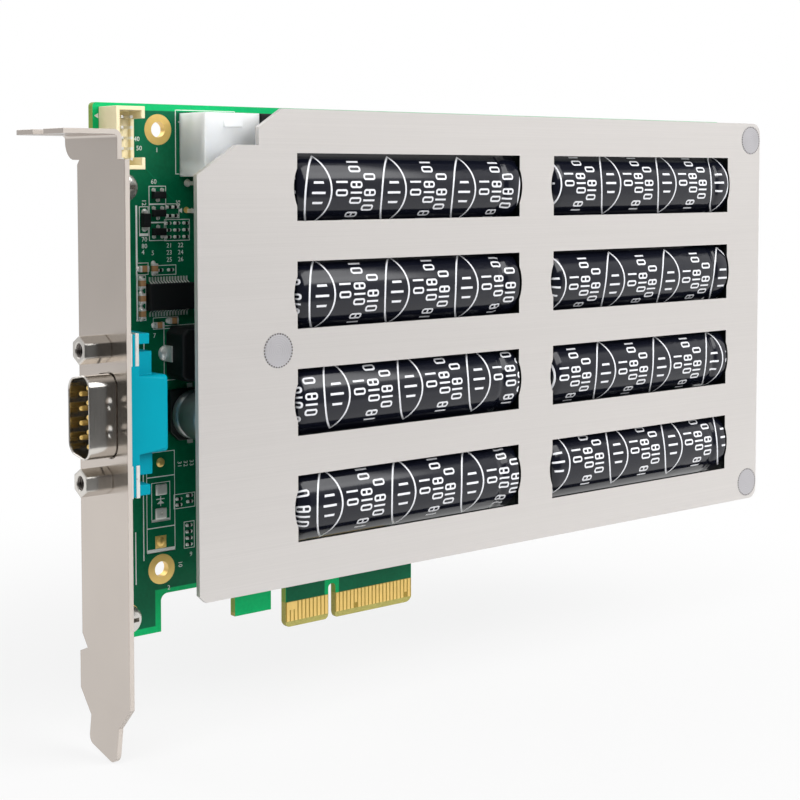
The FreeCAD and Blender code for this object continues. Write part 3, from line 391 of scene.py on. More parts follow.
def turned(name, rings, sides, hollow=False):
    """Piece turned about Z through rings of (height, radius), capped at its ends or closed on itself."""
    pick()
    height, radius = rings[0]
    fill = "NOTHING" if hollow else "NGON"
    bpy.ops.mesh.primitive_circle_add(
        vertices=sides, radius=radius, fill_type=fill, location=(0, 0, 0))
    piece = bpy.context.object
    piece.name = name
    edit(piece)
    bpy.ops.transform.translate(value=(0, 0, height))
    for next_height, next_radius in rings[1:]:
        rise = (0, 0, next_height - height)
        bpy.ops.mesh.extrude_region_move(TRANSFORM_OT_translate={"value": rise})
        scale = next_radius / radius
        bpy.ops.transform.resize(value=(scale, scale, 1))
        height, radius = next_height, next_radius
    if hollow:
        shape = bmesh.from_edit_mesh(piece.data)
        for edge in shape.edges:
            if all(vertex.index < sides for vertex in edge.verts):
                edge.select_set(True)
        bmesh.update_edit_mesh(piece.data)
        bpy.ops.mesh.bridge_edge_loops()
    close_up()
    return piece


def block(name, low, high, easing=0.0, steps=2):
    """Block between two corners, with eased edges."""
    pick()
    middle = (low + high) / 2
    bpy.ops.mesh.primitive_cube_add(size=1, location=middle, scale=high - low)
    piece = bpy.context.object
    piece.name = name
    bpy.ops.object.transform_apply(location=True, rotation=True, scale=True)
    if easing:
        apply_modifier(piece, "BEVEL", width=easing, segments=steps, limit_method="ANGLE")
    return piece


def rounding(first, second, steps):
    """Rings of a quarter round from one (height, radius) to another, bulging away from the axis."""
    rings = []
    for step in range(steps + 1):
        angle = math.pi / 2 * step / steps
        if second[1] > first[1]:
            along, across = 1 - math.cos(angle), math.sin(angle)
        else:
            along, across = math.sin(angle), 1 - math.cos(angle)
        height = first[0] + (second[0] - first[0]) * along
        radius = first[1] + (second[1] - first[1]) * across
        rings.append((height, radius))
    return rings


# Finishes

class Field:
    """A number that varies over a surface, worked out by Math nodes."""

    def __init__(self, tree, socket):
        self.tree = tree
        self.socket = socket

    def work(self, operation, *others, clamp=False, last=False):
        """Feeds this number and others to a Math node, this one first or last."""
        node = self.tree.nodes.new("ShaderNodeMath")
        node.operation = operation
        node.use_clamp = clamp
        values = (*others, self) if last else (self, *others)
        for entry, value in zip(node.inputs, values):
            if isinstance(value, Field):
                self.tree.links.new(value.socket, entry)
            else:
                entry.default_value = value
        return Field(self.tree, node.outputs[0])

    def __add__(self, other):
        return self.work("ADD", other)

    def __sub__(self, other):
        return self.work("SUBTRACT", other)

    def __rsub__(self, other):
        return self.work("SUBTRACT", other, last=True)

    def __mul__(self, other):
        return self.work("MULTIPLY", other)

    def least(self, other):
        return self.work("MINIMUM", other)

    def most(self, other):
        return self.work("MAXIMUM", other)

    def size(self):
        return self.work("ABSOLUTE")

    def within(self, low, high):
        """How far this number lies inside a range, below 0 outside it."""
        return (self - low).least(high - self)

    def repeat(self, pitch):
        """Distance from the nearest of a row of middles at this pitch."""
        return self.work("WRAP", pitch / 2, -pitch / 2)

    def inside(self, softness):
        """1 where this distance is below 0 and 0 where it is above, with a soft edge."""
        return (self * (-1 / softness)).work("ADD", 0.5, clamp=True)

    def above(self, level, softness):
        """1 where this number is above a level and 0 below it, with a soft edge."""
        return ((self - level) * (1 / softness)).work("ADD", 0.5, clamp=True)


class Finish:
    """A procedural material in the making."""

    def __init__(self, name, colour, roughness, metallic=0.0):
        self.material = bpy.data.materials.new(name + "_finish")
        self.material.use_nodes = True
        self.tree = self.material.node_tree
        self.shader = self.tree.nodes["Principled BSDF"]
        self.coordinates = self.tree.nodes.new("ShaderNodeTexCoord")
        self.colour = (*colour, 1)
        self.set("Base Color", self.colour)
        self.set("Roughness", roughness)
        self.set("Metallic", metallic)
        self.normal = None

    def set(self, entry, value):
        self.shader.inputs[entry].default_value = value

    def feed(self, entry, field):
        self.tree.links.new(field.socket, self.shader.inputs[entry])

    def split(self, output):
        """Three numbers of a coordinate."""
        node = self.tree.nodes.new("ShaderNodeSeparateXYZ")
        self.tree.links.new(self.coordinates.outputs[output], node.inputs[0])
        return [Field(self.tree, socket) for socket in node.outputs]

    def noise(self, pitch, stretch=(1, 1, 1), detail=3.0, output="Object"):
        """Noise from 0 to 1 whose grains are about one pitch across, longer where stretch is above 1."""
        mapping = self.tree.nodes.new("ShaderNodeMapping")
        mapping.inputs["Scale"].default_value = [1 / (pitch * part) for part in stretch]
        self.tree.links.new(self.coordinates.outputs[output], mapping.inputs["Vector"])
        node = self.tree.nodes.new("ShaderNodeTexNoise")
        node.inputs["Scale"].default_value = 1.0
        node.inputs["Detail"].default_value = detail
        self.tree.links.new(mapping.outputs[0], node.inputs["Vector"])
        return Field(self.tree, node.outputs["Fac"])

    def mix(self, amount, first, second):
        """Colour that goes from the first to the second as amount goes from 0 to 1."""
        node = self.tree.nodes.new("ShaderNodeMix")
        node.data_type = "RGBA"
        colour_inputs = [entry for entry in node.inputs if entry.type == "RGBA"]
        self.tree.links.new(amount.socket, node.inputs[0])
        for entry, value in zip(colour_inputs, (first, second)):
            if isinstance(value, Field):
                self.tree.links.new(value.socket, entry)
            else:
                entry.default_value = (*value[:3], 1)
        return Field(self.tree, [socket for socket in node.outputs if socket.type == "RGBA"][0])

    def shade(self, amount, spread):
        """Colour of this finish, lighter and darker by the spread as amount goes from 1 to 0."""
        dark = [part * (1 - spread) for part in self.colour[:3]]
        light = [min(part * (1 + spread), 1.0) for part in self.colour[:3]]
        return self.mix(amount, dark, light)

    def vary(self, entry, amount, low, high):
        """Lets one of the shader's numbers go from low to high as amount goes from 0 to 1."""
        self.feed(entry, amount * (high - low) + low)

    def soften(self, radius):
        """Rounds the look of sharp edges."""
        node = self.tree.nodes.new("ShaderNodeBevel")
        node.samples = 4
        node.inputs["Radius"].default_value = radius
        self.normal = node.outputs[0]
        self.tree.links.new(self.normal, self.shader.inputs["Normal"])

    def bump(self, height, depth):
        """Raises the surface by a depth where height goes from 0 to 1."""
        node = self.tree.nodes.new("ShaderNodeBump")
        node.inputs["Strength"].default_value = 1.0
        node.inputs["Distance"].default_value = depth
        self.tree.links.new(height.socket, node.inputs["Height"])
        if self.normal:
            self.tree.links.new(self.normal, node.inputs["Normal"])
        self.normal = node.outputs[0]
        self.tree.links.new(self.normal, self.shader.inputs["Normal"])


def mask_finish(colours, sizes):
    """Solder mask: dark over copper, light at the margins, bare laminate at the fingers and edges."""
    finish = Finish("solder_mask", colours.mask_on_copper, roughness=0.36)
    low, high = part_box("circuit_board")
    pads_low, pads_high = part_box("edge_contacts")
    x, _, z = finish.split("Object")
    across = finish.split("Normal")[1].size()
    cut_edge = 1 - across.above(0.5, 0.1)
    soft = 0.2 * MM

    margin = sizes.copper_margin
    lower_margin = margin * 0.7
    pad_margin = 0.2 * MM
    key_margin = 1.9 * MM
    main = x.within(low.x + margin, high.x - margin)
    main = main.least(z.within(sizes.main_edge + lower_margin, high.z - margin))
    joined = (sizes.main_edge + 2 * margin) - z
    foot = x.within(low.x + margin, low.x + sizes.foot_length - margin)
    foot = foot.least(z - (sizes.foot_bottom + margin)).least(joined)
    fingers = x.within(pads_low.x - pad_margin, pads_high.x + pad_margin)
    fingers = fingers.least(x.size() - key_margin).least(joined)
    copper = main.most(fingers).most(foot).above(0, soft)

    trace_line = 51.9 * MM
    trace_half_width = 0.1 * MM
    trace_middle = 94 * MM
    trace_half_height = 3.5 * MM
    trace = ((x + z) - trace_line).size() - trace_half_width
    trace = trace.most((z - trace_middle).size() - trace_half_height).inside(soft)

    mottle = finish.noise(12 * MM, detail=2.0)
    weave = finish.noise(0.55 * MM, detail=1.0)
    dark = finish.shade(mottle * 0.6 + weave * 0.4 + trace * 0.7, spread=0.4)
    light = finish.mix(weave, [part * 0.82 for part in colours.mask_on_board], colours.mask_on_board)
    masked = finish.mix(copper, light, dark)

    finger_margin = 1 * MM
    bare = (sizes.finger_top - z).above(0, soft) * (x - (pads_low.x - finger_margin)).above(0, soft)
    bare = bare.most(cut_edge)
    laminate = finish.mix(weave, [part * 0.6 for part in colours.laminate], colours.laminate)
    laminate = finish.mix((z - pads_low.z).above(0, soft) * across, laminate, colours.laminate_gap)
    board_edge = cut_edge * (z - sizes.finger_top).above(0, soft)
    laminate = finish.mix(board_edge, laminate, colours.laminate_edge)

    finish.feed("Base Color", finish.mix(bare, masked, laminate))
    finish.feed("Roughness", bare * 0.3 + weave * 0.08 + 0.32)
    finish.set("Specular IOR Level", 0.15)
    finish.bump(copper * 0.7 + weave * 0.3, depth=0.03 * MM)
    return finish.material


def brushed_finish(colours, sizes):
    """Steel brushed along the card, with painted shade in black on the cut sides inside the windows."""
    finish = Finish("brushed_steel", colours.cover, roughness=0.4, metallic=0.55)
    low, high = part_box("supercapacitors")
    reach = 2 * MM
    x, _, z = finish.split("Object")
    windows = x.within(low.x - reach, high.x + reach).least(z.within(low.z - reach, high.z + reach))
    cut_walls = 1 - finish.split("Normal")[1].size().above(0.6, 0.3)
    # The cut sides inside the windows are painted black as the shade that falls there
    painted_wall_shade = windows.above(0, 0.2 * MM) * cut_walls
    lines = finish.noise(sizes.brush_pitch, stretch=(260, 260, 1), detail=4.0)
    clouds = finish.noise(45 * MM, stretch=(2, 1, 1), detail=1.0)
    steel = finish.shade(lines * 0.75 + clouds * 0.25, spread=0.09)
    finish.feed("Base Color", finish.mix(painted_wall_shade, steel, colours.black))
    finish.vary("Roughness", lines, 0.34, 0.5)
    finish.bump(lines, depth=0.012 * MM)
    return finish.material


def wear(finish):
    """Soft clouds and fine scratches of plated metal, which also shade its colour."""
    clouds = finish.noise(14 * MM, detail=2.0)
    scratches = finish.noise(0.12 * MM, stretch=(1, 1, 40), detail=3.0)
    finish.feed("Base Color", finish.shade(clouds * 0.7 + scratches * 0.3, spread=0.07))
    return clouds, scratches


def nickel_finish(colours):
    """Smooth plating of the bracket, matt along the cut edges of its sheet."""
    finish = Finish("nickel_plate", colours.nickel, roughness=0.2, metallic=1.0)
    cut_edge = finish.split("Normal")[1].size().above(0.6, 0.3)
    clouds, scratches = wear(finish)
    finish.feed("Roughness", cut_edge * 0.3 + clouds * 0.06 + scratches * 0.08 + 0.14)
    finish.feed("Metallic", 1 - cut_edge * 0.7)
    finish.soften(0.15 * MM)
    finish.bump(scratches, depth=0.002 * MM)
    return finish.material


def plated_finish(name, colour, roughness, easing, metallic=1.0):
    """Plated metal with faint clouds and fine scratches."""
    finish = Finish(name, colour, roughness, metallic)
    clouds, scratches = wear(finish)
    finish.vary("Roughness", clouds * 0.5 + scratches * 0.5, roughness * 0.7, roughness * 1.35)
    finish.soften(easing)
    finish.bump(scratches, depth=0.002 * MM)
    return finish.material


def gold_finish(colours):
    """Gold over nickel, a little uneven."""
    finish = Finish("gold_plating", colours.gold, roughness=0.35, metallic=0.65)
    clouds = finish.noise(1.6 * MM, detail=3.0)
    finish.feed("Base Color", finish.shade(clouds, spread=0.12))
    finish.vary("Roughness", clouds, 0.28, 0.42)
    finish.bump(clouds, depth=0.01 * MM)
    return finish.material


def moulded_finish(name, colour, roughness, grain, depth, easing, see_through=0.0, gloss=0.5):
    """Moulded plastic with a fine grain and a faintly uneven colour."""
    finish = Finish(name, colour, roughness)
    clouds = finish.noise(5 * MM, detail=2.0)
    pits = finish.noise(grain, detail=2.0)
    finish.feed("Base Color", finish.shade(clouds * 0.6 + pits * 0.4, spread=0.1))
    finish.vary("Roughness", pits, roughness * 0.8, roughness * 1.2)
    finish.soften(easing)
    finish.bump(pits, depth)
    finish.set("Specular IOR Level", gloss)
    if see_through:
        finish.set("Subsurface Weight", see_through)
        finish.set("Subsurface Radius", (1.2, 1.1, 1.0))
        finish.set("Subsurface Scale", 4.0 * MM)
    return finish.material


def tinned_finish(colours):
    """Tinned leads and solder: bright with soft dents."""
    finish = Finish("tinned_metal", colours.tinned, roughness=0.3, metallic=0.5)
    dents = finish.noise(0.9 * MM, detail=2.0)
    finish.feed("Base Color", finish.shade(dents, spread=0.1))
    finish.vary("Roughness", dents, 0.22, 0.4)
    finish.bump(dents, depth=0.01 * MM)
    return finish.material


def can_finish(colours):
    """Drawn aluminium of the filter capacitor, with a dark polarity mark on part of its top."""
    metallic = 0.8
    finish = Finish("can_aluminium", colours.can, roughness=0.3, metallic=metallic)
    low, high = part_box("filter_capacitor_can")
    mark_depth = 0.25 * MM
    mark_height = 3 * MM
    _, y, z = finish.split("Object")
    rings = finish.noise(0.3 * MM, stretch=(20, 1, 20), detail=2.0)
    mark = ((low.y + mark_depth) - y).above(0, 0.05 * MM)
    mark = mark * (z - (high.z - mark_height)).above(0, 0.08 * MM)
    finish.feed("Base Color", finish.mix(mark, finish.shade(rings, spread=0.1), colours.black))
    finish.feed("Metallic", metallic - mark * metallic)
    finish.vary("Roughness", rings, 0.22, 0.4)
    finish.bump(rings, depth=0.004 * MM)
    return finish.material


def sleeve_finish(colours, sizes):
    """Shrink sleeve on the piece's own map, round it and along it, with a plain repeated print."""
    finish = Finish("cell_sleeve", colours.sleeve, roughness=0.15)
    leaf_place = -5.4
    # Place along the cell, half length round it, first sign and step from sign to sign, in millimetres
    sign_columns = ((0.4, 3.3, 0, 2.2), (4.1, 7.425, 1, 1.65), (7.6, 4.125, 2, 1.65))
    round_cell, along, _ = finish.split("UV")
    stroke = sizes.print_stroke
    here = along.repeat(sizes.print_pitch)
    printed = printed_leaf(here - leaf_place * MM, round_cell, stroke)
    for place, half, first, step in sign_columns:
        signs = printed_signs(here - place * MM, round_cell, first, step * MM, stroke)
        printed = printed.least(signs.most(round_cell.size() - half * MM))
    ink = printed.inside(0.06 * MM)
    wrinkled_end = along.above(52 * MM, 6 * MM)
    wrinkles = finish.noise(1.3 * MM, stretch=(1, 3, 1), detail=2.0, output="UV") * wrinkled_end
    creases = finish.noise(8 * MM, stretch=(1, 4, 1), detail=2.0, output="UV")
    finish.feed("Base Color", finish.mix(ink, colours.sleeve, colours.sleeve_print))
    finish.feed("Roughness", ink * 0.25 + creases * 0.06 + 0.11)
    finish.bump(wrinkles * 0.7 + creases * 0.3, depth=0.1 * MM)
    return finish.material


def printed_leaf(motif, round_cell, stroke):
    """Distance to the outline of a pointed leaf with three plain bars in it."""
    arc_radius = 11.6 * MM
    arc_offset = 8.4 * MM
    bar_step = 2.1 * MM
    bars_half_height = 3.1 * MM
    bar_half_length = 1.7 * MM
    bar_taper = 0.22
    leaf = None
    for middle in (motif - arc_offset, motif + arc_offset):
        arc = (middle * middle + round_cell * round_cell).work("SQRT") - arc_radius
        leaf = arc if leaf is None else leaf.most(arc)
    bars = (round_cell.repeat(bar_step).size() - stroke * 0.6).most(round_cell.size() - bars_half_height)
    bars = bars.most(motif.size() + round_cell.size() * bar_taper - bar_half_length)
    return (leaf.size() - stroke / 2).least(bars)


def printed_signs(across, round_cell, first, step, stroke):
    """Distance to a column of plain signs in turn: ring, stroke, ring with a crossbar and a space."""
    signs_in_turn = 4
    ring_straight = 0.9 * MM
    ring_flat = 0.1 * MM
    ring_radius = 0.42 * MM
    bar_half_height = 1.45 * MM
    crossbar_half = 0.5 * MM
    place = round_cell.repeat(step)
    number = (round_cell * (1 / step) + (first + 0.5)).work("FLOOR").work("WRAP", signs_in_turn, 0)
    tall = across.size() - ring_straight
    wide = place.size() - ring_flat
    corner = (tall.most(0) * tall.most(0) + wide.most(0) * wide.most(0)).work("SQRT")
    ring = (corner + tall.most(wide).least(0) - ring_radius).size() - stroke / 2
    bar = (place.size() - stroke / 2).most(across.size() - bar_half_height)
    crossed = ring.least((across.size() - stroke / 2).most(place.size() - crossbar_half))
    signs = None
    for turn, sign in enumerate((ring, bar, crossed)):
        shown = sign.most((number - turn).size() - 0.5)
        signs = shown if signs is None else signs.least(shown)
    return signs


def ink_finish(colours):
    """White print on the board, a little patchy."""
    finish = Finish("board_print", colours.ink, roughness=0.55)
    patches = finish.noise(0.25 * MM, detail=2.0)
    finish.feed("Base Color", finish.shade(patches, spread=0.1))
    finish.vary("Roughness", patches, 0.45, 0.65)
    return finish.material


made_finishes = {}


def finishes():
    """All finishes by name, made once."""
    if not made_finishes:
        colours = bpy.context.scene.card_colours
        sizes = bpy.context.scene.card_sizes
        made = (
            mask_finish(colours, sizes),
            brushed_finish(colours, sizes),
            nickel_finish(colours),
            plated_finish("shell_plate", colours.shell, roughness=0.14, easing=0.5 * MM),
            plated_finish("turned_head", colours.head, roughness=0.42, easing=0.05 * MM, metallic=0.6),
            plated_finish("plated_steel", colours.plated, roughness=0.2, easing=0.1 * MM, metallic=0.9),
            # Dark plating as painted shade for the jackscrew threads and the gaps of the standoffs' rims
            plated_finish("painted_shade_steel", colours.painted_shade_steel, roughness=0.35, easing=0.05 * MM),
            gold_finish(colours),
            moulded_finish(
                "teal_plastic", colours.teal, roughness=0.4, grain=0.12 * MM, depth=0.008 * MM,
                easing=0.15 * MM, gloss=0.08),
            moulded_finish(
                "black_plastic", colours.black, roughness=0.42, grain=0.12 * MM, depth=0.01 * MM,
                easing=0.1 * MM),
            moulded_finish(
                "ivory_plastic", colours.ivory, roughness=0.42, grain=0.15 * MM, depth=0.006 * MM,
                easing=0.12 * MM, see_through=0.15),
            moulded_finish(
                "natural_nylon", colours.nylon, roughness=0.36, grain=0.2 * MM, depth=0.006 * MM,
                easing=0.15 * MM, see_through=1.0, gloss=0.25),
            moulded_finish(
                "chip_moulding", colours.moulding, roughness=0.5, grain=0.08 * MM, depth=0.015 * MM,
                easing=0.08 * MM, gloss=0.3),
            moulded_finish(
                "tan_ceramic", colours.ceramic, roughness=0.45, grain=0.06 * MM, depth=0.005 * MM,
                easing=0.05 * MM),
            tinned_finish(colours),
            can_finish(colours),
            sleeve_finish(colours, sizes),
            ink_finish(colours))
        for finish in made:
            made_finishes[finish.name.removesuffix("_finish")] = finish
    return made_finishes


# Pieces of the card

class CARD_OT_solids(bpy.types.Operator):
    """Give each solid of the card its finish"""
    bl_idname = "card.solids"
    bl_label = "Finish the solids"

    finishes_of_nodes = {
        "solder_mask": ("circuit_board",),
        "gold_plating": ("edge_contacts", "serial_pins"),
        "nickel_plate": ("bracket",),
        "shell_plate": ("serial_shell", "jackscrews"),
        "brushed_steel": ("cover_plate",),
        "plated_steel": ("cover_standoffs", "bracket_lugs"),
        "teal_plastic": ("serial_body",),
        "black_plastic": ("serial_insulator", "filter_capacitor_base"),
        "natural_nylon": ("power_header",),
        "ivory_plastic": ("box_header",),
        "chip_moulding": (
            "charger_chip", "power_transistors", "small_transistors", "diodes", "inductor",
            "chip_resistors", "balance_resistors"),
        "tinned_metal": (
            "power_header_pins", "box_header_pins", "charger_chip_leads", "power_transistor_leads",
            "small_transistor_leads", "diode_terminals", "inductor_terminals", "filter_capacitor_feet",
            "screw_lock_clips"),
        "can_aluminium": ("filter_capacitor_can",),
        "tan_ceramic": ("ceramic_capacitors",),
        "cell_sleeve": ("supercapacitors",),
    }

    def execute(self, context):
        for finish, nodes in self.finishes_of_nodes.items():
            for node in nodes:
                solid = frame["nodes"][node]
                solid.data.materials.clear()
                solid.data.materials.append(finishes()[finish])
        return {"FINISHED"}


class CARD_OT_cells(bpy.types.Operator):
    """Model a sleeved cell with its rolled bead and its sealed end, and copy it to each place"""
    bl_idname = "card.cells"
    bl_label = "Supercapacitor cells"

    # How far each sleeve is turned round its cell and slid along it, in millimetres
    sleeve_turns = (1.2, -0.6, 0.4, 1.6, -1.0, 0.8, 0.2, -1.4)
    sleeve_slides = (9.0, 15.2, 8.2, 13.6, 4.5, 16.5, 6.4, 12.0)
    # Middle of the bead from the sealed end, and its section as place in millimetres and share of depth
    bead_from_end = 5.0
    bead_section = ((-1.5, 0), (-1.0, 0.16), (-0.55, 0.62), (0, 1), (0.55, 0.62), (1.0, 0.16), (1.5, 0))
    # Bare can and bung inside the folds of the sleeve, in millimetres
    can_sink = 0.25
    bung_sink = 0.4
    bung_slope = 0.1
    bung_middle = 1.2

    def execute(self, context):
        sizes = context.scene.card_sizes
        places = solid_boxes("supercapacitors")
        low, high = places[0]
        radius = (high.z - low.z) / 2
        body = high.x - low.x - sizes.lead_diameter / 2 - sizes.lead_reach
        spots = [Vector((low.x, low.y + radius, (low.z + high.z) / 2)) for low, high in places]
        cells = copy_to(self.model(sizes, radius, body), spots, TO_FAR_END)
        for number, (piece, spot) in enumerate(zip(cells, spots)):
            turn = self.sleeve_turns[number] * MM
            slide = self.sleeve_slides[number] * MM
            self.map_sleeve(piece, spot, radius, turn, slide)
            piece.name = "cell_%d" % (number + 1)
            piece.data.name = piece.name
            hand_in(piece, "cell_sleeve", "supercapacitors")
        return {"FINISHED"}

    def model(self, sizes, radius, body):
        """One cell along Z, its closed end at the origin."""
        can_edge = radius - sizes.shoulder_depth - sizes.sleeve_fold
        can_floor = self.can_sink * MM
        bung_edge = radius - sizes.sleeve_fold
        bung_top = body - self.bung_sink * MM
        bead = body - self.bead_from_end * MM
        easing = sizes.sealed_easing
        rings = [(can_floor, can_edge), (0, can_edge)]
        rings += rounding((0, radius - sizes.shoulder_depth), (sizes.shoulder_length, radius), steps=8)
        for along, share in self.bead_section:
            rings.append((bead + along * MM, radius - share * sizes.bead_depth))
        rings += rounding((body - easing, radius), (body, radius - easing), steps=4)
        rings += [(body, bung_edge), (bung_top, bung_edge - self.bung_slope * MM)]
        rings.append((bung_top, self.bung_middle * MM))
        cell = turned("cell", rings, sizes.cell_sides)
        smooth(cell, degrees=40)
        for finish in ("cell_sleeve", "can_aluminium", "black_plastic"):
            cell.data.materials.append(finishes()[finish])
        near = 0.1 * MM
        for face in cell.data.polygons:
            reach = math.hypot(face.center.x, face.center.y)
            if face.center.z < can_floor + near and reach < can_edge:
                face.material_index = 1
            elif face.center.z > bung_top - near and reach < bung_edge:
                face.material_index = 2
        return cell

    def map_sleeve(self, piece, spot, radius, turn, slide):
        """Maps a sleeve by the distance round its cell, from the front, and along it."""
        layers = piece.data.uv_layers
        layer = layers[0] if layers else layers.new(name="sleeve")
        for face in piece.data.polygons:
            middle = math.atan2(face.center.z - spot.z, spot.y - face.center.y)
            for corner in face.loop_indices:
                point = piece.data.vertices[piece.data.loops[corner].vertex_index].co
                angle = math.atan2(point.z - spot.z, spot.y - point.y)
                angle += 2 * math.pi * round((middle - angle) / (2 * math.pi))
                layer.data[corner].uv = (angle * radius + turn, point.x - spot.x + slide)


class CARD_OT_cell_leads(bpy.types.Operator):
    """Bend the wire leads of the cells into the board"""
    bl_idname = "card.cell_leads"
    bl_label = "Cell leads"

    wire_sides = 10
    bend_steps = 5
    # Radius of a bend and length held in the seal, in millimetres
    bend_radius = 0.9
    held_length = 0.45

    def execute(self, context):
        sizes = context.scene.card_sizes
        run = Vector((sizes.lead_reach + self.held_length * MM, 0, 0))
        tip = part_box("supercapacitors")[1].y
        leads = []
        for bend in cell_lead_bends(sizes):
            leads.append(self.wire(bend - run, bend, tip, sizes.lead_diameter))
        piece = join("cell_leads", leads)
        smooth(piece)
        hand_in(piece, "tinned_metal")
        return {"FINISHED"}

    def wire(self, start, bend, tip, diameter):
        """Round wire that runs along the card, bends once and runs on to its tip's depth."""
        pick()
        bpy.ops.mesh.primitive_circle_add(
            vertices=self.wire_sides, radius=diameter / 2, fill_type="NGON", location=start,
            rotation=(0, math.pi / 2, 0))
        piece = bpy.context.object
        edit(piece)
        turn = self.bend_radius * MM
        middle = bend + Vector((-turn, turn, 0))
        bpy.ops.mesh.extrude_region_move(TRANSFORM_OT_translate={"value": (middle.x - start.x, 0, 0)})
        for _ in range(self.bend_steps):
            bpy.ops.mesh.extrude_region_move()
            bpy.ops.transform.rotate(
                value=-math.pi / 2 / self.bend_steps, orient_axis="Z", center_override=middle)
        bpy.ops.mesh.extrude_region_move(TRANSFORM_OT_translate={"value": (0, tip - middle.y, 0)})
        close_up()
        bpy.ops.object.transform_apply(location=True, rotation=True, scale=True)
        return piece


class CARD_OT_shade_strips(bpy.types.Operator):
    """Model a dark strip under the cover, beside a column's lead ends, as painted shade behind the
    cells, and copy it to each column
    """
    bl_idname = "card.foam"
    bl_label = "Painted shade strips"

    # Width, thickness and length of a strip, its easing and its start before the leads' ends,
    # in millimetres
    strip_size = (3.2, 4.0, 88.0)
    strip_easing = 0.5
    strip_overlap = 2.4

    def execute(self, context):
        size = Vector(self.strip_size) * MM
        corner = Vector((0, 0, -size.z / 2))
        strip = block("strip", corner, corner + size, self.strip_easing * MM, steps=3)
        low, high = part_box("supercapacitors")
        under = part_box("cover_plate")[1].y
        ends = sorted({round(corners[1].x, 6) for corners in solid_boxes("supercapacitors")})
        spots = [Vector((end - self.strip_overlap * MM, under, (low.z + high.z) / 2)) for end in ends]
        # Black strips stand in for the shade behind the cells' ends
        piece = join("painted_shade_strips", copy_to(strip, spots))
        smooth(piece, degrees=30)
        hand_in(piece, "black_plastic")
        return {"FINISHED"}


class CARD_OT_screws(bpy.types.Operator):
    """Model a pan head screw with a cross recess, and copy it to the lugs and the standoffs"""
    bl_idname = "card.screws"
    bl_label = "Screws"

    # Lengths of the two kinds below their heads, of the tapered tip and of the head's lower easing,
    # in millimetres
    lug_shank = 3.4
    standoff_shank = 5.0
    tip_length = 0.3
    head_easing = 0.1
    # Radius of the tip in shares of the thread's
    tip_share = 0.8
    # Wall and crown of a head, and its recess, in shares of its height and of its radius
    head_section = ((0.4, 1), (0.6, 0.97), (0.78, 0.88), (0.9, 0.74), (0.97, 0.55), (1.0, 0.3))
    recess_reach = 0.62
    recess_floor = 0.35
    recess_top = 1.4

    def execute(self, context):
        sizes = context.scene.card_sizes
        lug_places = [on_board(*place) - Vector((0, sizes.plating, 0)) for place in LUG_SCREWS]
        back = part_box("circuit_board")[1].y + sizes.plating
        standoff_places = [middle_at(corners, back) for corners in solid_boxes("cover_standoffs")]
        kinds = (
            ("lug_screws", self.lug_shank, lug_places, TO_FRONT),
            ("standoff_screws", self.standoff_shank, standoff_places, TO_BACK))
        for name, shank, places, axis in kinds:
            piece = join(name, copy_to(self.model(sizes, shank * MM), places, axis))
            smooth(piece, degrees=30)
            hand_in(piece, "plated_steel")
        return {"FINISHED"}

    def model(self, sizes, shank):
        """One screw along Z, the underside of its head at the origin."""
        head = sizes.screw_head / 2
        tall = sizes.screw_head_height
        thread = sizes.screw_shank / 2
        easing = self.head_easing * MM
        rings = [(-shank, thread * self.tip_share), (self.tip_length * MM - shank, thread), (0, thread)]
        rings += [(0, head - easing), (easing, head)] + in_shares(self.head_section, tall, head)
        screw = turned("screw", rings, sides=40)
        half = sizes.screw_recess / 2
        arm = head * self.recess_reach
        for reach, across in ((arm, half), (half, arm)):
            floor = Vector((-reach, -across, tall * self.recess_floor))
            cut_away(screw, block("recess", floor, Vector((reach, across, tall * self.recess_top))))
        return screw


class CARD_OT_hole_rings(bpy.types.Operator):
    """Plate a gold ring through each screw hole of the board"""
    bl_idname = "card.hole_rings"
    bl_label = "Gold hole rings"

    def execute(self, context):
        sizes = context.scene.card_sizes
        low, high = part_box("circuit_board")
        spots = [on_board(*place) for place in FIXING_HOLES + LUG_SCREWS]
        spots += [middle_at(corners, low.y) for corners in solid_boxes("cover_standoffs")]
        thick = high.y - low.y
        hole = sizes.hole_diameter / 2
        edge = sizes.ring_diameter / 2
        film = sizes.plating
        section = [
            (film, hole - film), (film, edge - film), (0, edge), (0, hole),
            (-thick, hole), (-thick, edge), (-thick - film, edge - film), (-thick - film, hole - film)]
        ring = turned("hole_ring", section, sides=48, hollow=True)
        piece = join("hole_rings", copy_to(ring, spots, TO_FRONT))
        smooth(piece)
        hand_in(piece, "gold_plating")
        return {"FINISHED"}


